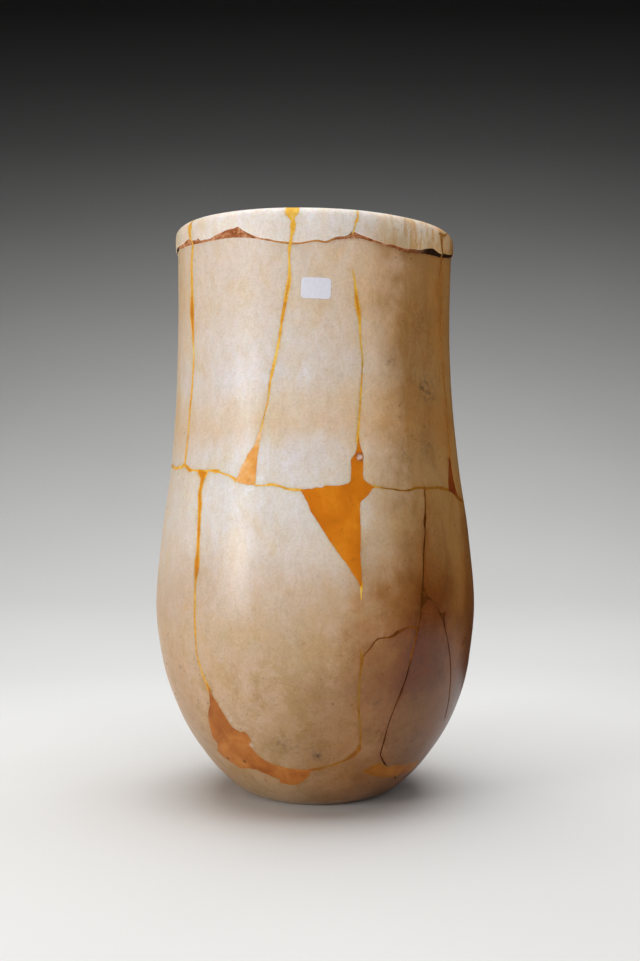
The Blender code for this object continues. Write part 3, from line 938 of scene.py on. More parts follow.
def regions(uv, tri, area, fixed):
    """Groups triangles that no drawn line parts, and names each group."""
    m = len(tri)
    e = np.concatenate([tri[:, [0, 1]], tri[:, [1, 2]], tri[:, [2, 0]]])
    owner = np.tile(np.arange(m), 3)
    lo, hi = e.min(1), e.max(1)
    key = lo * len(uv) + hi
    order = np.argsort(key, kind="stable")
    key_s, own_s = key[order], owner[order]
    same = key_s[1:] == key_s[:-1]
    pairs = np.stack([own_s[:-1][same], own_s[1:][same]], 1)
    pair_key = key_s[:-1][same]
    cut = {a * len(uv) + b for (a, b), ks in fixed.items() if ks & {1, 2}}
    is_cut = np.fromiter((k in cut for k in pair_key.tolist()), bool,
                         len(pair_key))
    parent = list(range(m))

    def find(x):
        while parent[x] != x:
            parent[x] = parent[parent[x]]
            x = parent[x]
        return x

    for p, q in pairs[~is_cut].tolist():
        a, b = find(p), find(q)
        if a != b:
            parent[a] = b
    root = np.fromiter((find(i) for i in range(m)), np.int64, m)
    _, group = np.unique(root, return_inverse=True)
    mid = uv[tri].mean(1)
    total = np.bincount(group, area)
    label = np.zeros(m, int)

    def vote(mask):
        return (np.bincount(group, area * mask) / total)[group] > 0.5

    label[vote(dark_field.at(mid) < 0)] = 11
    label[vote(seam_field.at(mid) < 0)] = 10
    for n, field in enumerate(fill_fields.values()):
        label[vote(field.at(mid) < 0)] = n + 1
    theta = np.degrees(mid[:, 0] / R0)
    z = np.interp(mid[:, 1], PS, PROF[:, 1])
    x = drift(z) + neck_r(z) * np.sin(np.radians(theta))
    z = z - dip(x, z)
    broken = ((mid[:, 1] < S_CREST) & (z > np.interp(theta, LIP_T, LIP_LO))
              & (z < np.interp(theta, LIP_T, LIP_HI)))
    label[vote(broken) & (label == 0)] = 20
    return label


uv, tri, area, fixed = sheet_mesh()
label = regions(uv, tri, area, fixed)

# ------------------------------------------------------- relief and marks ----
# pits and chips: (x, y, radius mm, depth mm, lightness of the bruise)
PITS = [
    (359.9, 457.2, 1.7, 1.1, 1.0), (227.8, 758.4, 1.0, 0.8, -1.0),
    (244.1, 761.4, 1.4, 1.0, -1.0), (377.0, 705.0, 0.9, 0.6, -1.0),
    (380.8, 699.6, 0.6, 0.4, -1.0), (318.4, 757.0, 1.4, 0.5, -1.0),
    (274.0, 674.0, 1.6, 0.35, 1.0), (299.0, 693.0, 1.0, 0.3, 0.8),
    (392.0, 363.0, 0.7, 0.4, -0.8), (425.7, 426.0, 0.9, 0.4, -0.9),
    (441.0, 676.0, 0.8, 0.3, -0.7), (407.8, 458.0, 0.7, 0.3, -0.6),
    (332.0, 312.5, 0.6, 0.3, -0.7), (268.0, 633.0, 0.7, 0.25, 0.6),
    (180.0, 666.0, 1.0, 0.35, -0.6), (455.0, 525.5, 0.7, 0.35, -0.8),
]
# smears of dirt: (x, y, half width, half height, amount)
SMEARS = [
    (391, 363, 5, 6, 0.75), (425, 388, 7, 12, 1.0), (431, 397, 5, 9, 0.9),
    (419, 322, 6, 16, 0.5), (431, 350, 6, 22, 0.45), (426, 445, 6, 14, 0.6),
    (414, 374, 6, 8, 0.5), (404, 452, 5, 8, 0.35), (416, 608, 5, 6, 0.8),
    (388, 612, 14, 7, 0.35), (397, 642, 9, 12, 0.35), (428, 636, 8, 12, 0.5),
    (440, 660, 7, 16, 0.45), (412, 668, 10, 12, 0.4), (420, 690, 14, 16, 0.4),
    (376, 704, 8, 5, 0.6), (355, 692, 12, 10, 0.25), (402, 742, 18, 10, 0.45),
    (370, 735, 14, 9, 0.3), (282, 745, 14, 8, 0.6), (302, 747, 10, 6, 0.5),
    (318, 756, 7, 5, 1.0), (262, 700, 14, 12, 0.25), (345, 640, 14, 12, 0.25),
    (437, 545, 10, 18, 0.3), (446, 580, 8, 20, 0.35), (350, 620, 10, 8, 0.2),
    (195, 660, 5, 10, 0.3), (205, 740, 6, 6, 0.35),
]
# stone that is tawny brown, partly its own colour and partly painted shade low on
# the right flank and at its edge, and stone that has stayed creamy:
# (x, y, half width, half height, amount)
TAWNY = [
    (394, 528, 20, 36, 0.9), (367, 552, 13, 30, 0.65), (384, 500, 28, 24, 0.5),
    (412, 508, 12, 26, 0.5), (388, 584, 20, 24, 0.5), (402, 652, 28, 24, 0.7),
    (374, 656, 18, 18, 0.5), (392, 248, 18, 14, 0.5), (399, 374, 15, 34, 0.55),
    (398, 664, 54, 50, 0.62), (450, 700, 18, 46, 0.9), (417, 600, 12, 18, 0.4),
]
UMBER = [(441.5, 233, 3.4, 4.5, 0.8)]
CREAM = [
    (205, 674, 32, 44, 0.9), (240, 702, 26, 22, 0.55), (250, 652, 30, 30, 0.35),
    (404, 268, 12, 16, 0.5),
]


def wear(uv):
    """How far the stone's face is worn away or stands proud, in metres."""
    p = roll(uv)
    out = (uv[:, 1] < S_CREST)
    d = (0.00016 * noise3(p, 0.055, 1) + 0.00007 * noise3(p, 0.016, 2)
         + 0.00003 * noise3(p, 0.005, 3))
    near = np.minimum(seam_field.at(uv), dark_field.at(uv))
    for field in fill_fields.values():
        near = np.minimum(near, field.at(uv))
    ragged = 0.45 + 0.45 * noise3(p, 0.004, 4)
    d = d - 0.00006 * ragged * np.exp(-np.clip(near, 0, None) / 0.0006)
    theta, z = on_jar([(x, y) for x, y, *_ in PITS])
    centre = roll(on_sheet([(x, y) for x, y, *_ in PITS]))
    for c, (_, _, radius, depth, _) in zip(centre, PITS):
        q = np.linalg.norm(p - c, axis=1) / (radius / 1000)
        d = d - depth / 1000 * np.clip(1 - q * q, 0, 1) ** 1.5
    # chipped edge of the stone above the crescent fill
    chips = on_sheet([(224, 711), (231, 719), (236, 726), (243, 728),
                      (248, 731), (253, 737), (256, 741)])
    for n, c in enumerate(roll(chips)):
        q = np.linalg.norm(p - c, axis=1) / (0.0016 + 0.0006 * (n % 3))
        d = d - 0.00012 * np.clip(1 - q * q, 0, 1) * (1 + noise3(p, 0.0014, 9))
    # the broken edge of the lip is rough
    theta_d = np.degrees(uv[:, 0] / R0)
    z_real = p[:, 2]
    hi = np.interp(theta_d, LIP_T, LIP_HI)
    lo = np.interp(theta_d, LIP_T, LIP_LO)
    inside = out & (z_real > lo) & (z_real < hi)
    d = d + np.where(inside, 0.00022 * noise3(p, 0.0022, 6), 0.0)
    d = d + np.where(uv[:, 1] > S_TOP_IN, 0.00022 * noise3(p, 0.012, 7), 0.0)
    return d


def marks(uv):
    """Amounts of each kind of marking, 0 to 1, for the stone's material; the tawny
    one also carries painted shade.
    """
    p = roll(uv)
    seam = seam_field.at(uv)
    for field in fill_fields.values():
        seam = np.minimum(seam, field.at(uv))
    dark = dark_field.at(uv)
    out = uv[:, 1] < S_CREST
    # orange that has soaked in along the resin, brown along the cracks
    soak = np.exp(-np.clip(seam, 0, None) / 0.0011)
    brown = np.exp(-np.clip(dark, 0, None) / 0.0030)
    core = np.clip((-seam_field.at(uv) - 0.00065) / 0.0005, 0, 1)
    # bruised, whitish stone and light hairlines
    light = np.zeros(len(uv))
    hair = np.exp(-(np.abs(hair_field.at(uv)) / 0.00030) ** 2)
    pits = roll(on_sheet([(x, y) for x, y, *_ in PITS]))
    dirt, ring = np.zeros(len(uv)), np.zeros(len(uv))
    for n, (c, (_, _, radius, _, tone)) in enumerate(zip(pits, PITS)):
        q = np.linalg.norm(p - c, axis=1) / (radius / 1000)
        q = q + 0.35 * noise3(p, 0.0012, 70)
        amount = np.clip(1.35 - q, 0, 1)
        if tone > 0:
            light = np.maximum(light, amount * tone)
        else:
            dirt = np.maximum(dirt, amount * -tone)
        if n == 0:
            ring = np.exp(-((q - 1.35) / 0.45) ** 2)
    chips = on_sheet([(221, 706), (227, 714), (231, 720), (236, 725.5),
                      (241, 728), (246, 729), (250, 733), (253, 739),
                      (252, 745)])
    for n, c in enumerate(roll(chips)):
        q = np.linalg.norm(p - c, axis=1) / (0.0011 + 0.0005 * (n % 3))
        q = q + 0.5 * noise3(p, 0.0016, 71)
        light = np.maximum(light, 0.55 * np.clip(1.2 - q, 0, 1))
    # smears of dirt and clouds of colour, some of it painted shade: centre, half
    # width and half height
    def clouds(places, wobble=0.0):
        total = np.zeros(len(uv))
        shift = p + wobble * np.stack([noise3(p, 0.013, 81 + k)
                                       for k in range(3)], 1)
        for cx, cy, hw, hh, amount in places:
            c = roll(on_sheet([(cx, cy), (cx + hw, cy), (cx, cy + hh)]))
            ax, ay = np.linalg.norm(c[1] - c[0]), np.linalg.norm(c[2] - c[0])
            ex = (c[1] - c[0]) / ax
            q = shift - c[0]
            along = q @ ex
            rest = np.linalg.norm(q - along[:, None] * ex, axis=1)
            g = np.exp(-(along / ax) ** 2 - (rest / ay) ** 2)
            total = 1 - (1 - total) * (1 - g * amount * out)
        return total

    smear = clouds(SMEARS)
    umber = clouds(UMBER, 0.0012)
    tawny = clouds(TAWNY, 0.005)
    cream = clouds(CREAM, 0.006)
    # fragments that are paler or browner than the ones beside them
    span = on_sheet([(424.6, 489), (425, 519), (424, 550), (422.6, 592),
                     (420.8, 615), (416, 638), (409, 667), (400, 695)])
    order = np.argsort(span[:, 1])
    edge = np.interp(uv[:, 1], span[order, 1], span[order, 0])
    s_low, s_high = span[:, 1].min(), span[:, 1].max()
    belly = (uv[:, 1] > s_low) & (uv[:, 1] < s_high + 0.0004)
    right = np.clip((uv[:, 0] - edge) / 0.0004, 0, 1)
    fade = np.exp(-np.clip(uv[:, 0] - edge, 0, None) / 0.060)
    browner = np.where(belly, right * fade, 0)
    stem = float(on_sheet([(361.5, 540)])[0, 0])
    up_s = float(on_sheet([(395, 640)])[0, 1])
    paler = (belly & (uv[:, 1] > up_s)) * (1 - right) * np.clip(
        (uv[:, 0] - stem) / 0.0008, 0, 1)
    paler = paler * smooth(up_s, up_s + 0.035, uv[:, 1])
    span = on_sheet([(441, 232), (441.2, 255), (439.6, 281), (440.8, 320),
                     (443, 362), (446.4, 405), (449.4, 450)])
    order = np.argsort(span[:, 1])
    edge = np.interp(uv[:, 1], span[order, 1], span[order, 0])
    neck = (uv[:, 1] > span[:, 1].min()) & (uv[:, 1] < span[:, 1].max())
    beyond = np.clip((uv[:, 0] - edge) / 0.0004, 0, 1) * neck
    paler = np.maximum(paler, 0.35 * beyond * np.exp(
        -np.clip(uv[:, 0] - edge, 0, None) / 0.05))
    # a brown band just below the broken edge of the lip, fading downwards, on the
    # right half of the jar
    theta_d = np.degrees(uv[:, 0] / R0)
    lo = np.interp(theta_d, LIP_T, LIP_LO)
    depth = np.clip(lo - p[:, 2], 0, None)
    under = np.where(out & (p[:, 2] < lo), np.exp(-depth / 0.0007), 0.0)
    under = under * smooth(-4, 14, theta_d)
    lip = np.where(out, np.clip((p[:, 2] - lo) / 0.0003, 0, 1),
                   smooth(0.372, 0.382, p[:, 2]))
    drop = np.where(out, np.clip(1 - (p[:, 2] - lo) / 0.016, 0, 1), 0.3)
    return dict(soak=soak, brown=brown, light=light, dirt=dirt, hair=hair,
                ring=ring, smear=smear, paler=paler, browner=browner,
                under=under, core=core, lip=lip, drop=drop, tawny=tawny,
                cream=cream, umber=umber)


# ---------------------------------------------------------- making meshes ----
def new_object(name, verts, faces, smooth_angle=34):
    mesh = bpy.data.meshes.new(name)
    mesh.vertices.add(len(verts))
    mesh.vertices.foreach_set("co", np.asarray(verts, np.float32).ravel())
    sizes = np.array([len(f) for f in faces], np.int32)
    loops = np.concatenate([np.asarray(f, np.int32) for f in faces]) \
        if not isinstance(faces, np.ndarray) else faces.astype(np.int32).ravel()
    mesh.loops.add(len(loops))
    mesh.loops.foreach_set("vertex_index", loops)
    mesh.polygons.add(len(sizes))
    starts = np.concatenate([[0], np.cumsum(sizes)[:-1]]).astype(np.int32)
    mesh.polygons.foreach_set("loop_start", starts)
    mesh.update(calc_edges=True)
    mesh.validate()
    mesh.shade_smooth()
    mesh.set_sharp_from_angle(angle=math.radians(smooth_angle))
    ob = bpy.data.objects.new(name, mesh)
    bpy.context.collection.objects.link(ob)
    return ob


def add_floats(ob, name, values, domain='POINT'):
    layer = ob.data.attributes.new(name, 'FLOAT', domain)
    layer.data.foreach_set("value", np.asarray(values, np.float32))


def border_edges(tris):
    """Directed edges of a set of triangles that have no partner in it."""
    e = np.concatenate([tris[:, [0, 1]], tris[:, [1, 2]], tris[:, [2, 0]]])
    have = set(map(tuple, e.tolist()))
    return np.array([(a, b) for a, b in e.tolist() if (b, a) not in have],
                    dtype=np.int64)


def build_stone():
    n = len(uv)
    top = roll(uv, 0.0)
    lift = wear(uv)
    top = roll(uv, lift)
    bed = roll(uv, -DEPTH)
    solid = np.isin(label, (0, 20))
    hole = ~solid
    faces = [tri[solid], tri[hole] + n]
    rim = border_edges(tri[hole])
    # walls of the channels: a hole's border edge a-b, not on the sheet's border
    a, b = rim[:, 0], rim[:, 1]
    walls = np.concatenate([np.stack([a, b, b + n], 1),
                            np.stack([a, b + n, a + n], 1)])
    faces.append(walls)
    faces = np.concatenate(faces)
    verts = np.concatenate([top, bed])
    verts[:, 2] = np.maximum(verts[:, 2], 0.0)
    kind =np.concatenate([np.where(label[solid] == 20, 1.0, 0.0),
                           np.zeros(hole.sum() + len(walls))])

    # sew the two sides of the sheet
    remap = np.arange(len(verts))
    left = np.nonzero(np.abs(uv[:, 0] + WIDTH / 2) < 1e-6)[0]
    right = np.nonzero(np.abs(uv[:, 0] - WIDTH / 2) < 1e-6)[0]
    left = left[np.argsort(uv[left, 1])]
    right = right[np.argsort(uv[right, 1])]
    assert len(left) == len(right), (len(left), len(right))
    assert np.allclose(uv[left, 1], uv[right, 1], atol=2e-5)
    remap[right] = left
    faces = remap[faces]

    # the resting face and the floor inside, as rings closing on a point
    extra, more, kinds = [], [], []
    count = len(verts)
    for s, inward in ((0.0, 1), (S_END, -1)):
        ring = np.nonzero(np.abs(uv[:, 1] - s) < 1e-6)[0]
        ring = ring[np.argsort(uv[ring, 0])][:-1]
        outer = ring
        pts = verts[ring]
        cx, cy = float(drift(0.0 if s == 0 else 0.02)), 0.0
        for share in (0.86, 0.68, 0.48, 0.26):
            q = pts.copy()
            q[:, 0] = cx + (pts[:, 0] - cx) * share
            q[:, 1] = cy + (pts[:, 1] - cy) * share
            if s == 0:
                q[:, 2] = 0.00035 * (1 - share) + np.clip(
                    0.00012 * noise3(q, 0.009, 9), -0.0001, 0.0001)
                q[:, 2] = np.clip(q[:, 2], 0.0, None)
            else:
                q[:, 2] = (pts[:, 2] - 0.0012 * (1 - share * share)
                           + 0.0002 * noise3(q, 0.012, 8))
            ids = count + np.arange(len(ring))
            extra.append(q)
            count += len(ring)
            i, j = np.arange(len(ring)), np.roll(np.arange(len(ring)), -1)
            if inward == 1:
                more += [np.stack([outer[j], outer[i], ids[i]], 1),
                         np.stack([outer[j], ids[i], ids[j]], 1)]
            else:
                more += [np.stack([outer[i], outer[j], ids[j]], 1),
                         np.stack([outer[i], ids[j], ids[i]], 1)]
            outer = ids
        hub = verts[ring].mean(0)
        hub[:2] = cx, cy
        hub[2] = 0.0003 if s == 0 else hub[2] - 0.0012
        extra.append(hub[None])
        i, j = np.arange(len(ring)), np.roll(np.arange(len(ring)), -1)
        tip = np.full(len(ring), count)
        count += 1
        more.append(np.stack([outer[j], outer[i], tip], 1) if inward == 1
                    else np.stack([outer[i], outer[j], tip], 1))
    more = np.concatenate(more)
    verts = np.concatenate([verts] + extra)
    kind = np.concatenate([kind, np.zeros(len(more))])
    faces = np.concatenate([faces, more])

    # drop what nothing uses
    used, inv = np.unique(faces, return_inverse=True)
    faces = inv.reshape(faces.shape)
    m = marks(uv)
    table = {}
    for key, values in m.items():
        full = np.zeros(len(verts))
        full[:n] = values
        full[n:2 * n] = values
        table[key] = full[used]
    ob = new_object("alabaster_body", verts[used], faces)
    for key, values in table.items():
        add_floats(ob, key, values)
    add_floats(ob, "broken", np.repeat(kind, 3), 'CORNER')
    # the broken edge is black round the right side, and on a short stretch at the
    # left back
    theta = np.degrees(np.arctan2(verts[used][:, 0], -verts[used][:, 1]))
    black = smooth(36, 52, theta) * (1 - smooth(90, 118, theta))
    black = np.maximum(black, smooth(-72, -78, theta) * smooth(-100, -84, theta))
    add_floats(ob, "black_edge", black)
    return ob


def inlay(name, which, sink, crown, seed, shrink=0.00001):
    """Closed piece that lies in the channel over the triangles given."""
    t = tri[which]
    used, inv = np.unique(t, return_inverse=True)
    t = inv.reshape(t.shape)
    p2 = uv[used].copy()
    edge = border_edges(t)
    # draw the border in a little, towards the piece's own middle
    k = radius_at(p2[:, 1]) / R0
    push = np.zeros_like(p2)
    d = p2[edge[:, 1]] - p2[edge[:, 0]]
    dx, dy = d[:, 0] * k[edge[:, 0]], d[:, 1]
    ln = np.hypot(dx, dy) + 1e-12
    nx, ny = -dy / ln, dx / ln
    for side in (0, 1):
        np.add.at(push[:, 0], edge[:, side], nx)
        np.add.at(push[:, 1], edge[:, side], ny)
    size = np.linalg.norm(push, axis=1)
    ok = size > 0.2
    push[ok] /= size[ok][:, None]
    push[~ok] = 0
    p2[:, 0] += push[:, 0] * shrink / k
    p2[:, 1] += push[:, 1] * shrink
    n = len(used)
    at_edge = np.zeros(n, bool)
    at_edge[edge.ravel()] = True
    p = roll(p2)
    lift = sink + crown * noise3(p, 0.009, seed) + 0.3 * crown * noise3(
        p, 0.0025, seed + 1)
    lift = np.where(at_edge, sink - abs(crown) * 0.4, lift)
    top = roll(p2, lift + wear(p2) * 0.5)
    low = roll(p2, np.full(n, -DEPTH + 0.00008))
    a, b = edge[:, 0], edge[:, 1]
    faces = np.concatenate([
        t, t[:, ::-1] + n,
        np.stack([b, a, a + n], 1), np.stack([b, a + n, b + n], 1)])
    ob = new_object(name, np.concatenate([top, low]), faces, 45)
    m = marks(p2)
    for key in ("light", "dirt", "ring", "core"):
        add_floats(ob, key, np.tile(m[key], 2))
    return ob


stone = build_stone()
fill_objects = {}
for n, name in enumerate(fill_fields):
    fill_objects[name] = inlay("resin_" + name.replace("_fill", ""),
                               label == n + 1, -0.00004, 0.00006, 30 + n)
seams = inlay("resin_seams", label == 10, -0.00004, 0.00005, 50)
cracks = inlay("dark_cracks", label == 11, -0.00009, 0.00006, 60)


# ---------------------------------------------------------------- sticker ----
def make_sticker():
    w, h, c = 0.0196, 0.0138, 0.0024
    ctr_t, ctr_z = on_jar([(316.0, 288.0)])
    ctr_t, ctr_z = float(ctr_t[0]), float(ctr_z[0])
    corners = on_jar([(301.0, 288.0), (331.0, 288.0), (316, 277.6),
                      (316, 298.6)])
    w = math.radians(corners[0][1] - corners[0][0]) * float(neck_r(ctr_z))
    h = float(corners[1][2] - corners[1][3])
    turn = math.radians(-2.2)
    nx, ny = 44, 30
    xs = np.linspace(-w / 2, w / 2, nx + 1)
    rows = []
    for x in xs:
        over = max(abs(x) - (w / 2 - c), 0.0)
        half = h / 2 - c + math.sqrt(max(c * c - over * over, 0.0))
        rows.append([(x, y) for y in np.linspace(-half, half, ny + 1)])
    flat = np.array(rows).reshape(-1, 2)
    x = flat[:, 0] * math.cos(turn) - flat[:, 1] * math.sin(turn)
    y = flat[:, 0] * math.sin(turn) + flat[:, 1] * math.cos(turn)
    z = ctr_z + y
    theta = ctr_t + np.degrees(x / neck_r(z))
    sheet = np.stack([np.radians(theta) * R0, s_out(to_param(theta, z))], 1)
    # corners lift a little, and the paper has a faint cockle
    u0, v0 = np.abs(flat[:, 0]) / (w / 2), np.abs(flat[:, 1]) / (h / 2)
    curl = 0.00022 * np.clip(u0 * v0 - 0.55, 0, 1) ** 1.5 / 0.45
    base = wear(sheet) + 0.00003 + curl
    base = base + 0.000018 * np.sin(flat[:, 0] * 900 + 1.3 * np.sin(
        flat[:, 1] * 700))
    low = roll(sheet, base)
    top = roll(sheet, base + 0.00013)
    n = len(flat)
    ids = np.arange(n).reshape(nx + 1, ny + 1)
    a, b = ids[:-1, :-1].ravel(), ids[1:, :-1].ravel()
    cc, d = ids[1:, 1:].ravel(), ids[:-1, 1:].ravel()
    faces = [np.stack([a, b, cc, d], 1), np.stack([d, cc, b, a], 1) + n]
    ring = np.concatenate([ids[:, 0], ids[-1, 1:], ids[-2::-1, -1],
                           ids[0, -2:0:-1]])
    nxt = np.roll(ring, -1)
    faces.append(np.stack([nxt, ring, ring + n, nxt + n], 1))
    faces = np.concatenate(faces)
    mesh = bpy.data.meshes.new("paper_label")
    mesh.from_pydata(np.concatenate([top, low]).tolist(), [], faces.tolist())
    mesh.validate()
    mesh.shade_smooth()
    mesh.set_sharp_from_angle(angle=math.radians(50))
    ob = bpy.data.objects.new("blank_sticker", mesh)
    bpy.context.collection.objects.link(ob)
    return ob


sticker = make_sticker()


# -------------------------------------------------------------- materials ----
def lin(r, g, b):
    """Screen colour, 0 to 255, to linear."""
    out = []
    for v in (r, g, b):
        v = v / 255
        out.append(v / 12.92 if v <= 0.04045 else ((v + 0.055) / 1.055) ** 2.4)
    return (*out, 1.0)


class Tree:
    def __init__(self, name):
        self.mat = bpy.data.materials.new(name)
        self.mat.use_nodes = True
        self.nodes = self.mat.node_tree.nodes
        self.links = self.mat.node_tree.links
        self.nodes.clear()
        self.out = self.nodes.new("ShaderNodeOutputMaterial")
        self.bsdf = self.nodes.new("ShaderNodeBsdfPrincipled")
        self.links.new(self.bsdf.outputs[0], self.out.inputs[0])
        self.coord = self.nodes.new("ShaderNodeTexCoord").outputs["Object"]

    def link(self, a, b):
        self.links.new(a, b)

    def put(self, socket, value):
        if isinstance(value, (int, float, tuple, list)):
            socket.default_value = value
        else:
            self.link(value, socket)

    def math(self, op, a, b=None, c=None, clamp=False):
        n = self.nodes.new("ShaderNodeMath")
        n.operation = op
        n.use_clamp = clamp
        for i, v in enumerate((a, b, c)):
            if v is not None:
                self.put(n.inputs[i], v)
        return n.outputs[0]

    def noise(self, scale, detail=3, rough=0.5, distort=0.0, vector=None,
              normalize=True):
        n = self.nodes.new("ShaderNodeTexNoise")
        n.inputs["Scale"].default_value = scale
        n.inputs["Detail"].default_value = detail
        n.inputs["Roughness"].default_value = rough
        n.inputs["Distortion"].default_value = distort
        self.link(vector or self.coord, n.inputs["Vector"])
        return n.outputs["Fac"]

    def voronoi(self, scale, feature='F1', vector=None, out="Distance",
                random=1.0):
        n = self.nodes.new("ShaderNodeTexVoronoi")
        n.feature = feature
        n.inputs["Scale"].default_value = scale
        n.inputs["Randomness"].default_value = random
        self.link(vector or self.coord, n.inputs["Vector"])
        return n.outputs[out]

    def stretch(self, sx, sy, sz, vector=None):
        n = self.nodes.new("ShaderNodeMapping")
        n.inputs["Scale"].default_value = (sx, sy, sz)
        self.link(vector or self.coord, n.inputs["Vector"])
        return n.outputs[0]

    def warp(self, amount, scale):
        """The object's coordinates, pushed about by noise."""
        n = self.nodes.new("ShaderNodeTexNoise")
        n.inputs["Scale"].default_value = scale
        n.inputs["Detail"].default_value = 2
        self.link(self.coord, n.inputs["Vector"])
        m = self.nodes.new("ShaderNodeVectorMath")
        m.operation = 'MULTIPLY_ADD'
        self.link(n.outputs["Color"], m.inputs[0])
        m.inputs[1].default_value = (amount, amount, amount)
        self.link(self.coord, m.inputs[2])
        return m.outputs[0]

    def ramp(self, fac, stops, mode='LINEAR'):
        n = self.nodes.new("ShaderNodeValToRGB")
        n.color_ramp.interpolation = mode
        el = n.color_ramp.elements
        while len(el) > 1:
            el.remove(el[-1])
        el[0].position, el[0].color = stops[0][0], self.colour(stops[0][1])
        for pos, col in stops[1:]:
            e = el.new(pos)
            e.color = self.colour(col)
        self.link(fac, n.inputs[0])
        return n.outputs["Color"]

    @staticmethod
    def colour(c):
        return (c, c, c, 1.0) if isinstance(c, (int, float)) else c

    def remap(self, v, a, b, c=0.0, d=1.0, kind='SMOOTHSTEP'):
        n = self.nodes.new("ShaderNodeMapRange")
        n.interpolation_type = kind
        self.put(n.inputs["Value"], v)
        for key, val in (("From Min", a), ("From Max", b), ("To Min", c),
                         ("To Max", d)):
            n.inputs[key].default_value = val
        return n.outputs["Result"]

    def mix(self, fac, a, b, blend='MIX'):
        n = self.nodes.new("ShaderNodeMix")
        n.data_type = 'RGBA'
        n.blend_type = blend
        self.put(n.inputs[0], fac)
        self.put(n.inputs[6], a)
        self.put(n.inputs[7], b)
        return n.outputs[2]

    def attr(self, name):
        n = self.nodes.new("ShaderNodeAttribute")
        n.attribute_name = name
        return n.outputs["Fac"]

    def xyz(self, vector=None):
        n = self.nodes.new("ShaderNodeSeparateXYZ")
        self.link(vector or self.coord, n.inputs[0])
        return n.outputs

    def bump(self, height, strength, distance, normal=None):
        n = self.nodes.new("ShaderNodeBump")
        n.inputs["Strength"].default_value = strength
        n.inputs["Distance"].default_value = distance
        self.link(height, n.inputs["Height"])
        if normal is not None:
            self.link(normal, n.inputs["Normal"])
        return n.outputs[0]

    def set(self, **values):
        for key, v in values.items():
            self.put(self.bsdf.inputs[key.replace("_", " ")], v)


def c3(r, g, b):
    return (r, g, b, 1.0)


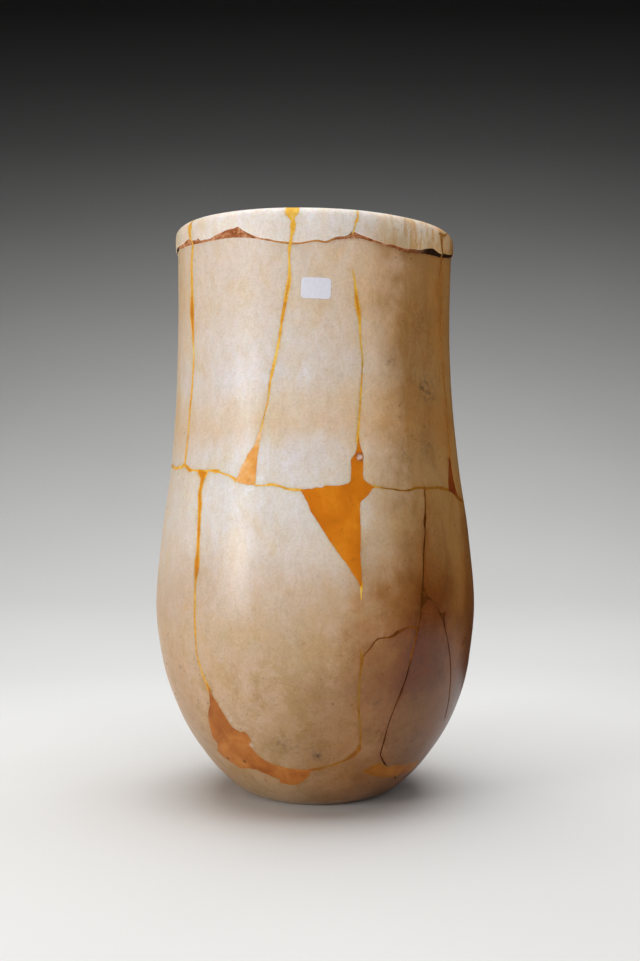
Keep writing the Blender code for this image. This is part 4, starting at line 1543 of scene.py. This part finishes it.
def alabaster():
    t = Tree("alabaster")
    x, y, z = t.xyz()
    slow = t.math('SUBTRACT', t.noise(7.0, 2, 0.5), 0.5)
    mid = t.math('SUBTRACT', t.noise(26.0, 3, 0.55), 0.5)
    fine = t.math('SUBTRACT', t.noise(90.0, 3, 0.6), 0.5)
    # layers of the stone, nearly level and gently wavy; the lowest are darker,
    # partly the stone's own tan and partly painted shade of the lower belly
    wave = t.math('MULTIPLY_ADD', slow, 0.040,
                  t.math('MULTIPLY_ADD', mid, 0.016,
                         t.math('MULTIPLY', fine, 0.006)))
    level = t.math('DIVIDE', t.math('ADD', z, wave), 0.41)
    col = t.ramp(level, [
        (0.00, c3(.44, .28, .15)), (0.14, c3(.48, .30, .155)),
        (0.21, c3(.53, .34, .18)), (0.29, c3(.59, .42, .26)),
        (0.37, c3(.66, .52, .41)), (0.43, c3(.75, .66, .59)),
        (0.51, c3(.775, .72, .69)), (0.59, c3(.765, .695, .655)),
        (0.635, c3(.755, .60, .46)), (0.675, c3(.76, .635, .52)),
        (0.71, c3(.765, .69, .65)), (0.83, c3(.765, .64, .54)),
        (1.0, c3(.78, .66, .565))])
    # the lip band is paler, partly its own stone and partly a painted glow of the
    # thin translucent band
    lip = t.attr("lip")
    col = t.mix(lip, col, t.ramp(level, [(0.93, c3(.86, .77, .70)),
                                         (0.975, c3(.89, .845, .82))]))
    # round the jar: clean on the left, browner and darker round the right flank,
    # partly brown stone and partly painted warm shade of the side turned from the
    # key light
    turn = t.math('ARCTAN2', x, t.math('MULTIPLY', y, -1.0))
    lipped = t.math('MULTIPLY', lip, t.remap(turn, -0.5, 0.40, 0.0, 0.70))
    lipped = t.math('MULTIPLY', lipped, t.remap(turn, 3.0, 1.8))
    place = t.math('SUBTRACT', turn, lipped)
    place = t.math('MULTIPLY_ADD', slow, 0.40, place)
    place = t.math('MULTIPLY_ADD', mid, 0.46, place)
    place = t.math('MULTIPLY_ADD', fine, 0.24, place)
    around = t.math('MULTIPLY_ADD', place, 1 / (2 * math.pi), 0.5)

    def at(deg):
        return (deg + 180) / 360

    def between(v, a, b, c, d):
        """1 from b to c degrees, and 0 before a and after d."""
        return t.math('MULTIPLY', t.remap(v, math.radians(a), math.radians(b)),
                      t.remap(v, math.radians(d), math.radians(c)))

    shade_and_brown_round = t.ramp(around, [
        (at(-180), c3(.93, .85, .76)), (at(-110), c3(.98, .88, .72)),
        (at(-80), c3(.95, .79, .54)), (at(-60), c3(.94, .88, .80)),
        (at(-35), c3(.97, .97, .97)), (at(-8), c3(1, 1, 1)),
        (at(9), c3(1.02, .96, .88)), (at(20), c3(1.05, .90, .70)),
        (at(28), c3(.90, .70, .48)), (at(37), c3(.62, .40, .18)),
        (at(50), c3(.55, .335, .135)), (at(66), c3(.66, .375, .12)),
        (at(105), c3(.62, .39, .17)), (at(140), c3(.84, .68, .48)),
        (at(179), c3(.93, .85, .76))])
    col = t.mix(1.0, col, shade_and_brown_round, 'MULTIPLY')
    # the belly's right side is the brownest part, partly brown stone and partly
    # painted warm shade
    stain_and_shade = t.math('MULTIPLY', between(place, 6, 30, 44, 58),
                   t.math('MULTIPLY', t.remap(z, 0.068, 0.098),
                          t.remap(z, 0.205, 0.145)))
    stain_and_shade = t.math('MULTIPLY', stain_and_shade, t.remap(mid, -0.30, 0.05, 0.75, 1.0))
    col = t.mix(stain_and_shade, col, t.mix(1.0, col, c3(.68, .46, .20), 'MULTIPLY'))
    # painted shade: the right edge and side of the body below the neck are
    # darkened and greyed
    painted_limb_shade = t.math('MULTIPLY', between(place, 57, 70, 100, 130),
                  t.remap(z, 0.225, 0.190))
    col = t.mix(painted_limb_shade, col, t.mix(1.0, col, c3(.66, .55, .45), 'MULTIPLY'))
    # tawny clouds: brown stone, and painted shade low on the right flank
    col = t.mix(t.attr("tawny"), col,
                t.mix(1.0, col, c3(.66, .50, .27), 'MULTIPLY'))
    col = t.mix(t.attr("cream"), col,
                t.mix(1.0, col, c3(1.17, 1.25, 1.52), 'MULTIPLY'))
    gold = t.math('MULTIPLY', between(turn, 10, 40, 120, 150),
                  t.math('MULTIPLY', lip, t.math(
                      'MULTIPLY_ADD', t.attr("drop"), 0.80, 0.20)))
    col = t.mix(gold, col, t.mix(1.0, col, c3(.90, .76, .50), 'MULTIPLY'))
    # painted shade: the front of the lower belly is darker, where it turns down
    # from the light
    foot = t.math('MULTIPLY', between(place, -24, 6, 28, 37),
                  t.remap(z, 0.112, 0.086))
    col = t.mix(foot, col, t.mix(1.0, col, c3(.78, .71, .63), 'MULTIPLY'))
    greyer = t.math('MULTIPLY', between(place, 30, 38, 64, 80),
                    t.remap(z, 0.100, 0.078))
    col = t.mix(greyer, col, t.mix(1.0, col, c3(.93, 1.0, 1.14), 'MULTIPLY'))
    flank = t.math('MULTIPLY', t.remap(turn, 0.30, 0.72),
                   t.remap(turn, 2.7, 1.9))
    low = t.remap(z, 0.165, 0.060)
    # paler and browner fragments next to each other
    col = t.mix(t.math('MULTIPLY', t.attr("paler"), 0.28), col,
                t.mix(1.0, col, c3(1.18, 1.42, 1.9), 'MULTIPLY'))
    col = t.mix(t.math('MULTIPLY', t.attr("browner"), 0.7), col,
                t.mix(1.0, col, c3(.92, .80, .58), 'MULTIPLY'))
    # clouds of yellow and of pinkish white, and upright fibres
    cloud = t.noise(1.0, 5, 0.6, 0.5, t.stretch(34, 34, 24))
    yellow = t.remap(cloud, 0.48, 0.66)
    col = t.mix(t.math('MULTIPLY', yellow, 0.55), col,
                t.mix(1.0, col, c3(1.0, .91, .72), 'MULTIPLY'))
    white = t.remap(t.noise(1.0, 5, 0.62, 0.8, t.stretch(62, 62, 24)),
                    0.50, 0.66)
    col = t.mix(t.math('MULTIPLY', white, 0.60), col,
                t.mix(1.0, col, c3(1.05, 1.09, 1.17), 'MULTIPLY'))
    tan = t.remap(t.noise(1.0, 5, 0.64, 0.6, t.stretch(105, 105, 64)),
                  0.50, 0.66)
    col = t.mix(t.math('MULTIPLY', tan, 0.42), col,
                t.mix(1.0, col, c3(.95, .87, .72), 'MULTIPLY'))
    # thin, pale veins and scratches
    vein = t.voronoi(24.0, 'DISTANCE_TO_EDGE', t.warp(0.030, 22.0))
    vein = t.math('MULTIPLY', t.remap(vein, 0.010, 0.001),
                  t.remap(t.noise(52.0, 4, 0.66), 0.52, 0.60))
    col = t.mix(t.math('MULTIPLY', vein, 0.45), col,
                t.mix(1.0, col, c3(1.09, 1.15, 1.26), 'MULTIPLY'))
    vein = t.voronoi(1.0, 'DISTANCE_TO_EDGE', t.stretch(70, 70, 30))
    vein = t.math('MULTIPLY', t.remap(vein, 0.030, 0.004),
                  t.remap(t.noise(64.0, 4, 0.66), 0.54, 0.61))
    col = t.mix(t.math('MULTIPLY', vein, 0.50), col,
                t.mix(1.0, col, c3(1.08, 1.13, 1.22), 'MULTIPLY'))
    fibre = t.noise(1.0, 4, 0.66, 1.4, t.stretch(190, 190, 64))
    col = t.mix(1.0, col, t.ramp(fibre, [
        (0.30, c3(.97, .955, .93)), (0.5, c3(1, 1, 1)),
        (0.70, c3(1.02, 1.03, 1.045))]), 'MULTIPLY')
    # crystals: a fine grain that breaks up every even tone
    grit = t.noise(640.0, 3, 0.75)
    col = t.mix(1.0, col, t.ramp(grit, [
        (0.34, c3(.92, .90, .87)), (0.5, c3(1, 1, 1)),
        (0.66, c3(1.04, 1.05, 1.07))]), 'MULTIPLY')
    mealy = t.noise(1.0, 4, 0.66, 0.6, t.stretch(150, 150, 90))
    col = t.mix(1.0, col, t.ramp(mealy, [
        (0.34, c3(.965, .955, .935)), (0.5, c3(1, 1, 1)),
        (0.66, c3(1.02, 1.03, 1.05))]), 'MULTIPLY')
    wisp = t.remap(t.noise(1.0, 3, 0.55, 1.2, t.stretch(120, 120, 26)),
                   0.60, 0.72)
    col = t.mix(t.math('MULTIPLY', wisp, 0.34), col,
                t.mix(1.0, col, c3(1.10, 1.15, 1.24), 'MULTIPLY'))
    # brown streaks that run down the flank, and down the lip there
    runs = t.remap(t.noise(1.0, 5, 0.66, 1.0, t.stretch(80, 80, 34)),
                   0.48, 0.62)
    col = t.mix(t.math('MULTIPLY', t.math('MULTIPLY', runs, flank), 0.40), col,
                t.mix(1.0, col, c3(.74, .64, .48), 'MULTIPLY'))
    liprun = t.remap(t.noise(1.0, 4, 0.6, 0.8, t.stretch(170, 170, 38)),
                     0.48, 0.62)
    liprun = t.math('MULTIPLY', liprun, t.math(
        'MULTIPLY', lip, between(turn, 14, 44, 110, 150)))
    col = t.mix(t.math('MULTIPLY', liprun, 0.80), col,
                t.mix(1.0, col, c3(.86, .62, .32), 'MULTIPLY'))
    # olive and pinkish mottling low on the belly
    mottle = t.noise(58.0, 5, 0.66, 0.4)
    olive = t.math('MULTIPLY', t.remap(mottle, 0.48, 0.60), low)
    col = t.mix(t.math('MULTIPLY', olive, 0.70), col,
                t.mix(1.0, col, c3(.84, .82, .60), 'MULTIPLY'))
    pink = t.math('MULTIPLY', t.remap(t.noise(44.0, 5, 0.66, 0.5), 0.50, 0.62),
                  t.math('MULTIPLY', t.remap(z, 0.19, 0.11),
                         t.remap(flank, 0.1, 0.7, 1.0, 0.15)))
    col = t.mix(t.math('MULTIPLY', pink, 0.55), col,
                t.mix(1.0, col, c3(1.10, 1.15, 1.38), 'MULTIPLY'))
    # a net of the finest cracks, and level marks of the turning
    net = t.voronoi(150.0, 'DISTANCE_TO_EDGE', t.warp(0.006, 60.0))
    net = t.math('MULTIPLY', t.remap(net, 0.05, 0.0),
                 t.remap(t.noise(30.0, 3), 0.47, 0.60))
    net = t.math('MULTIPLY', net, t.remap(z, 0.24, 0.12, 0.25, 1.0))
    col = t.mix(t.math('MULTIPLY', net, 0.16), col,
                t.mix(1.0, col, c3(.62, .50, .36), 'MULTIPLY'))
    lathe = t.noise(1.0, 4, 0.7, 0.0, t.stretch(26, 26, 520))
    seldom = t.remap(t.noise(1.0, 3, 0.6, 0.0, t.stretch(9, 9, 45)), 0.50, 0.66)
    scored = t.math('MULTIPLY', t.remap(lathe, 0.50, 0.66), seldom)
    col = t.mix(t.math('MULTIPLY', scored, 0.35), col,
                t.mix(1.0, col, c3(.93, .90, .84), 'MULTIPLY'))
    # dark specks in drifts, thicker low down and on the flank
    more = t.math('MAXIMUM', t.math('MULTIPLY', low, 0.8),
                  t.math('MULTIPLY', flank, 0.75))
    more = t.math('MAXIMUM', more, 0.09)
    drifts = t.remap(t.noise(40.0, 5, 0.66), 0.47, 0.60)
    specks = t.math('MULTIPLY', t.remap(t.voronoi(300.0), 0.26, 0.10), drifts)
    specks = t.math('MULTIPLY', specks, more)
    col = t.mix(t.math('MULTIPLY', specks, 0.60), col,
                t.mix(1.0, col, c3(.40, .32, .24), 'MULTIPLY'))
    dust = t.remap(t.noise(300.0, 4, 0.72), 0.52, 0.68)
    dust = t.math('MULTIPLY', dust, t.remap(t.noise(26.0, 4, 0.6), 0.44, 0.60))
    dust = t.math('MULTIPLY', dust, t.math('MAXIMUM', more, 0.28))
    col = t.mix(t.math('MULTIPLY', dust, 0.55), col,
                t.mix(1.0, col, c3(.66, .58, .48), 'MULTIPLY'))
    big = t.math('MULTIPLY', t.remap(t.voronoi(150.0), 0.17, 0.07),
                 t.math('MULTIPLY', t.remap(t.noise(19.0, 3), 0.52, 0.62),
                        more))
    col = t.mix(t.math('MULTIPLY', big, 0.72), col,
                t.mix(1.0, col, c3(.20, .15, .10), 'MULTIPLY'))
    smear = t.math('MULTIPLY', t.attr("smear"),
                   t.remap(t.noise(330.0, 4, 0.7), 0.44, 0.62))
    col = t.mix(t.math('MULTIPLY', smear, 0.66), col, lin(70, 58, 42))
    # marks along the mends
    ragged = t.remap(t.noise(240.0, 4, 0.65), 0.34, 0.66, 0.15, 1.0)
    col = t.mix(t.math('MULTIPLY', t.math('MULTIPLY', t.attr("soak"), ragged),
                       0.62), col, t.mix(1.0, col, c3(1.0, .72, .30),
                                         'MULTIPLY'))
    col = t.mix(t.math('MULTIPLY', t.math('MULTIPLY', t.attr("brown"), ragged),
                       0.80), col, t.mix(1.0, col, c3(.80, .46, .16),
                                         'MULTIPLY'))
    broken_up = t.remap(t.noise(420.0, 4, 0.7), 0.40, 0.60, 0.25, 1.0)
    col = t.mix(t.math('MULTIPLY', t.math('MULTIPLY', t.attr("light"),
                                          broken_up), 0.72), col,
                c3(.80, .72, .64))
    col = t.mix(t.math('MULTIPLY', t.math('MULTIPLY', t.attr("hair"),
                                          broken_up), 0.55), col,
                t.mix(1.0, col, c3(1.22, 1.30, 1.45), 'MULTIPLY'))
    col = t.mix(t.math('MULTIPLY', t.attr("dirt"), 0.92), col, lin(40, 26, 14))
    umber = t.remap(t.math('MULTIPLY_ADD', fine, 0.5, t.attr("umber")),
                    0.34, 0.56, 0.0, 0.93)
    col = t.mix(umber, col, t.ramp(level, [(0.5, c3(.095, .024, .002)),
                                           (0.8, c3(.26, .10, .014))]))
    # the broken edge of the lip
    grain = t.math('MULTIPLY_ADD', t.noise(460.0, 4, 0.7), 0.6,
                   t.math('MULTIPLY', t.noise(120.0, 3, 0.6), 0.4))
    rust = t.ramp(grain, [(0.36, c3(.16, .040, .012)), (0.5, c3(.42, .145, .052)),
                          (0.64, c3(.76, .43, .25))])
    thin = t.math('MULTIPLY', t.remap(turn, -0.36, -0.22),
                  t.remap(turn, 0.17, 0.10))
    rust = t.mix(thin, rust, t.ramp(grain, [
        (0.3, c3(.46, .17, .03)), (0.7, c3(.68, .36, .12))]))
    rust = t.mix(t.attr("black_edge"), rust,
                 t.ramp(grain, [(0.32, c3(.010, .005, .003)),
                                (0.75, c3(.050, .022, .010))]))
    col = t.mix(t.attr("broken"), col, rust)
    under = t.attr("under")
    col = t.mix(t.math('MULTIPLY', under, 0.75), col,
                t.mix(1.0, col, c3(.62, .36, .17), 'MULTIPLY'))
    t.set(Base_Color=col)
    # finish: waxy, slightly grainy polish
    grainy = t.noise(880.0, 3, 0.6)
    rough = t.math('MULTIPLY_ADD', t.noise(95.0, 3, 0.6), 0.14, 0.23)
    rough = t.math('MAXIMUM', rough, t.math('MULTIPLY', t.attr("broken"), 0.85))
    t.set(Roughness=rough)
    t.set(Specular_IOR_Level=t.math('MULTIPLY_ADD', t.attr("broken"), -0.40,
                                    0.42))
    pits = t.remap(t.voronoi(340.0), 0.22, 0.04)
    some = t.remap(t.noise(70.0, 3), 0.44, 0.60)
    pitting = t.math('MULTIPLY', pits, some)
    height = t.math('SUBTRACT', t.math('MULTIPLY', grainy, 0.6),
                    t.math('MULTIPLY', pitting, 0.8))
    height = t.math('MULTIPLY_ADD', scored, -0.25, height)
    height = t.math('MULTIPLY_ADD', net, -0.5, height)
    nrm = t.bump(height, 0.55, 0.00022)
    nrm = t.bump(t.noise(1.0, 3, 0.5, 0.2, t.stretch(30, 30, 90)), 0.10,
                 0.0009, nrm)
    t.put(t.bsdf.inputs["Normal"], nrm)
    t.bsdf.subsurface_method = 'RANDOM_WALK'
    t.bsdf.inputs["Subsurface Weight"].default_value = 0.50
    t.bsdf.inputs["Subsurface Radius"].default_value = (1.0, 0.55, 0.28)
    t.bsdf.inputs["Subsurface Scale"].default_value = 0.0045
    t.bsdf.inputs["IOR"].default_value = 1.50
    return t.mat


def resin(name, dark, mid, pale, rough=0.40, patch=38.0, sss=0.25,
          bubbly=0.75, browning=0.0):
    t = Tree(name)
    x, y, z = t.xyz()
    cloud = t.noise(patch, 4, 0.58, 0.5)
    col = t.ramp(cloud, [(0.30, dark), (0.50, mid), (0.70, pale)])
    if browning:
        # seams are deep orange where they are wide, and browner low down
        # and towards the right flank
        deep = t.math('MULTIPLY', t.attr("core"),
                      t.remap(z, 0.365, 0.345, 0.25, 1.0))
        turn = t.math('ARCTAN2', x, t.math('MULTIPLY', y, -1.0))
        flank = t.math('MULTIPLY', t.remap(turn, 0.30, 0.50),
                       t.remap(turn, 3.0, 1.9, 0.35, 1.0))
        away = t.math('MAXIMUM', t.remap(turn, -0.30, 0.05, 0.35, 1.0),
                      t.remap(turn, -1.9, -3.0, 0.35, 1.0))
        where = t.math('MULTIPLY', t.remap(z, 0.140, 0.105), away)
        where = t.math('MAXIMUM', where, flank)
        where = t.math('MAXIMUM', where, t.remap(turn, -2.0, -3.0, 0.0, 0.35))
        where = t.math('MAXIMUM', where, t.math(
            'MULTIPLY', t.remap(t.noise(22.0, 3, 0.6), 0.54, 0.66), 0.5))
        where = t.math('MULTIPLY', where, browning)
        col = t.mix(where, col, t.mix(1.0, col, c3(.28, .19, .11), 'MULTIPLY'))
        col = t.mix(t.math('MULTIPLY', deep, 0.85), col,
                    t.mix(where, c3(.64, .20, .010), t.ramp(cloud, [
                        (0.35, c3(.24, .062, .005)), (0.65, c3(.42, .14, .012))])))
    bubbles = t.remap(t.voronoi(330.0), 0.15, 0.07)
    bubbles = t.math('MULTIPLY', bubbles,
                     t.remap(t.noise(40.0, 3), 0.52, 0.64))
    col = t.mix(t.math('MULTIPLY', bubbles, bubbly), col,
                t.mix(1.0, col, c3(1.25, 1.55, 3.2), 'MULTIPLY'))
    grime = t.remap(t.noise(190.0, 5, 0.68), 0.54, 0.70)
    col = t.mix(t.math('MULTIPLY', grime, 0.34), col,
                t.mix(1.0, col, c3(.62, .50, .42), 'MULTIPLY'))
    scratch = t.remap(t.noise(1.0, 3, 0.5, 0.0, t.stretch(220, 220, 26)),
                      0.58, 0.70)
    col = t.mix(t.math('MULTIPLY', scratch, 0.24), col,
                t.mix(1.0, col, c3(1.10, 1.22, 1.6), 'MULTIPLY'))
    ragged = t.remap(t.noise(420.0, 4, 0.7), 0.36, 0.60, 0.2, 1.0)
    col = t.mix(t.math('MULTIPLY', t.attr("ring"), 0.85), col,
                c3(.20, .035, .006))
    col = t.mix(t.math('MULTIPLY', t.math('MULTIPLY', t.attr("light"), ragged),
                       0.95), col, c3(.86, .70, .62))
    col = t.mix(t.math('MULTIPLY', t.attr("dirt"), 0.95), col, lin(36, 18, 8))
    t.set(Base_Color=col)
    t.set(Roughness=t.math('MULTIPLY_ADD', t.noise(120.0, 3, 0.6), 0.20,
                           rough - 0.10))
    hgt = t.math('SUBTRACT', t.noise(210.0, 4, 0.6),
                 t.math('MULTIPLY', bubbles, 0.8))
    t.put(t.bsdf.inputs["Normal"], t.bump(hgt, 0.32, 0.00025))
    t.bsdf.subsurface_method = 'RANDOM_WALK'
    t.bsdf.inputs["Subsurface Weight"].default_value = sss
    t.bsdf.inputs["Subsurface Radius"].default_value = (1.0, 0.35, 0.08)
    t.bsdf.inputs["Subsurface Scale"].default_value = 0.0012
    t.bsdf.inputs["IOR"].default_value = 1.5
    t.bsdf.inputs["Specular IOR Level"].default_value = 0.16
    return t.mat


def crack_dirt():
    t = Tree("crack_dirt")
    x, y, z = t.xyz()
    near = t.noise(34.0, 3, 0.6)
    fine = t.noise(300.0, 4, 0.65)
    mixed = t.math('MULTIPLY_ADD', near, 0.55, t.math('MULTIPLY', fine, 0.45))
    col = t.ramp(mixed, [
        (0.38, c3(.055, .013, .002)), (0.50, c3(.11, .030, .003)),
        (0.60, c3(.20, .062, .008))])
    # the one that humps across the belly is stained orange brown
    turn = t.math('ARCTAN2', x, t.math('MULTIPLY', y, -1.0))
    hump = t.math('MULTIPLY', t.remap(turn, 0.645, 0.60),
                  t.math('MULTIPLY', t.remap(z, 0.100, 0.108),
                         t.remap(z, 0.145, 0.140)))
    col = t.mix(hump, col, t.ramp(mixed, [(0.40, c3(.15, .040, .004)),
                                          (0.58, c3(.34, .105, .010))]))
    # the open crack beside the neck is a clearer orange brown
    col = t.mix(t.math('MULTIPLY', t.remap(z, 0.20, 0.25), 0.8), col,
                t.ramp(mixed, [(0.38, c3(.30, .11, .020)),
                               (0.60, c3(.56, .26, .055))]))
    t.set(Base_Color=col)
    t.set(Roughness=t.math('MULTIPLY_ADD', t.noise(160.0, 3), 0.3, 0.50))
    t.bsdf.inputs["Specular IOR Level"].default_value = 0.06
    t.put(t.bsdf.inputs["Normal"], t.bump(t.noise(420.0, 3), 0.5, 0.0003))
    return t.mat


def paper():
    t = Tree("paper")
    fibre = t.noise(1.0, 4, 0.65, 0.0, t.stretch(900, 900, 420))
    col = t.ramp(fibre, [(0.30, lin(228, 226, 238)), (0.70, lin(238, 236, 247))])
    smudge = t.remap(t.noise(170.0, 3, 0.6), 0.56, 0.72)
    col = t.mix(t.math('MULTIPLY', smudge, 0.12), col, lin(196, 188, 196))
    t.set(Base_Color=col)
    t.set(Roughness=t.math('MULTIPLY_ADD', t.noise(300.0, 2), 0.12, 0.55))
    t.put(t.bsdf.inputs["Normal"], t.bump(fibre, 0.18, 0.00008))
    t.bsdf.inputs["Subsurface Weight"].default_value = 0.15
    t.bsdf.inputs["Subsurface Radius"].default_value = (1.0, 0.9, 0.9)
    t.bsdf.inputs["Subsurface Scale"].default_value = 0.0004
    return t.mat


def give(ob, mat):
    ob.data.materials.clear()
    ob.data.materials.append(mat)


give(stone, alabaster())
amber = resin("resin_amber", c3(.60, .165, .006), c3(.70, .205, .008),
              c3(.80, .27, .014))
light_amber = resin("resin_light", c3(.78, .28, .040), c3(.86, .38, .085),
                    c3(.92, .56, .27), patch=70.0)
clay_amber = resin("resin_clay", c3(.30, .085, .014), c3(.43, .14, .026),
                   c3(.56, .22, .055), rough=0.55, patch=52.0, sss=0.15)
red_amber = resin("resin_red", c3(.10, .012, .002), c3(.18, .027, .003),
                  c3(.30, .065, .008))
bright = resin("resin_bright", c3(.72, .28, .015), c3(.88, .43, .04),
               c3(.95, .62, .14), patch=110.0)
seam_mat = resin("resin_seam", c3(.70, .28, .022), c3(.95, .50, .055),
                 c3(.98, .68, .19), patch=85.0, sss=0.2, bubbly=0.3,
                 browning=0.9)
give(fill_objects["belly_fill_centre"], amber)
give(fill_objects["neck_fill_left"], light_amber)
give(fill_objects["neck_fill_right"], red_amber)
give(fill_objects["bowl_fill_left"], clay_amber)
give(fill_objects["rim_fill"], bright)
give(seams, seam_mat)
give(cracks, crack_dirt())
give(sticker, paper())

# ------------------------------------------------------------------ stage ----
def make_stage():
    """Pale floor that curves up into a back wall, its colour painted darker
    upwards as shade.
    """
    turn, start = 1.5, 0.55
    pts = [(-2.4, 0.0), (-0.6, 0.0), (0.2, 0.0)]
    for i in range(49):
        a = i / 48 * math.pi / 2
        pts.append((start + turn * math.sin(a), turn * (1 - math.cos(a))))
    pts += [(start + turn, 2.4), (start + turn, 3.6)]
    verts, faces = [], []
    xs = np.linspace(-3.2, 3.2, 9)
    for x in xs:
        for y, z in pts:
            verts.append((x, y, z))
    n = len(pts)
    for i in range(len(xs) - 1):
        for j in range(n - 1):
            faces.append((i * n + j, (i + 1) * n + j, (i + 1) * n + j + 1,
                          i * n + j + 1))
    mesh = bpy.data.meshes.new("floor")
    mesh.from_pydata(verts, [], faces)
    mesh.shade_smooth()
    ob = bpy.data.objects.new("floor", mesh)
    bpy.context.collection.objects.link(ob)
    t = Tree("floor")
    x, y, z = t.xyz()
    paper = t.ramp(t.noise(3.0, 2), [(0.3, c3(.80, .80, .79)),
                                     (0.7, c3(.83, .83, .82))])
    # the backdrop's colour is graded, from pale at the foot to grey above: painted
    # shade, as if the light fell off up the wall
    painted_falloff = t.ramp(t.math('DIVIDE', z, 1.5), [
        (0.0, 1.0), (0.03, .88), (0.10, .79), (0.175, .70), (0.29, .56),
        (0.417, .41), (0.56, .25), (0.69, .13), (0.80, .07), (0.92, .028)])
    col = t.mix(1.0, paper, painted_falloff, 'MULTIPLY')
    t.set(Base_Color=col)
    t.bsdf.inputs["Specular IOR Level"].default_value = 0.1
    t.bsdf.inputs["Roughness"].default_value = 0.7
    give(ob, t.mat)
    return ob


make_stage()


def area_light(name, loc, aim, size, power, colour=(1, 1, 1)):
    data = bpy.data.lights.new(name, 'AREA')
    data.shape = 'RECTANGLE'
    data.size, data.size_y = size
    data.energy = power
    data.color = colour
    ob = bpy.data.objects.new(name, data)
    ob.location = loc
    d = Vector(aim) - Vector(loc)
    ob.rotation_euler = d.to_track_quat('-Z', 'Y').to_euler()
    bpy.context.collection.objects.link(ob)
    return ob


area_light("key", (-0.92, -0.70, 0.29), (0, 0, 0.15), (0.24, 0.28), 3.4)
wide = area_light("wide key", (-1.45, -0.80, 0.40), (0, 0, 0.18), (1.1, 0.8),
                  3.1)
wide.visible_glossy = False
front = area_light("front", (0.10, -2.0, 0.80), (0, 0, 0.24), (1.6, 1.1), 8.6)
front.visible_glossy = False
top = area_light("top", (0.0, 0.15, 1.45), (0, 0.15, 0.0), (1.6, 1.6), 26.5)
top.visible_glossy = False


def make_flag():
    """Black card beside the jar, seen only in its polish."""
    mesh = bpy.data.meshes.new("flag")
    plan = [(0.62, -0.70), (0.62, 0.20), (0.14, 0.26), (0.14, 0.27),
            (0.63, 0.21), (0.63, -0.70)]
    verts = [(x, y, z) for z in (0.0, 1.1) for x, y in plan]
    faces = [(n, (n + 1) % 6, (n + 1) % 6 + 6, n + 6) for n in range(6)]
    faces += [(0, 5, 4, 1), (1, 4, 3, 2), (6, 7, 10, 11), (7, 8, 9, 10)]
    mesh.from_pydata(verts, [], faces)
    ob = bpy.data.objects.new("flag", mesh)
    bpy.context.collection.objects.link(ob)
    t = Tree("flag")
    t.set(Base_Color=t.ramp(t.noise(40.0, 3), [(0.3, c3(.010, .010, .010)),
                                               (0.7, c3(.016, .016, .016))]))
    t.bsdf.inputs["Specular IOR Level"].default_value = 0.1
    give(ob, t.mat)
    for ray in ("camera", "diffuse", "shadow", "transmission"):
        setattr(ob, "visible_" + ray, False)


make_flag()

world = bpy.data.worlds.new("studio")
world.use_nodes = True
world.node_tree.nodes["Background"].inputs[0].default_value = (
    0.56, 0.56, 0.57, 1)
world.node_tree.nodes["Background"].inputs[1].default_value = 0.11
bpy.context.scene.world = world
bpy.context.scene.view_settings.view_transform = 'Standard'

# -------------------------------------------------------- part of the jar ----
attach(stone, "root")
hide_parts("jar_body")
for name, ob in fill_objects.items():
    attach(ob, "root")
    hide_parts(name)
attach(seams, "root")
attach(cracks, "root")
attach(sticker, "root")
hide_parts("paper_sticker")
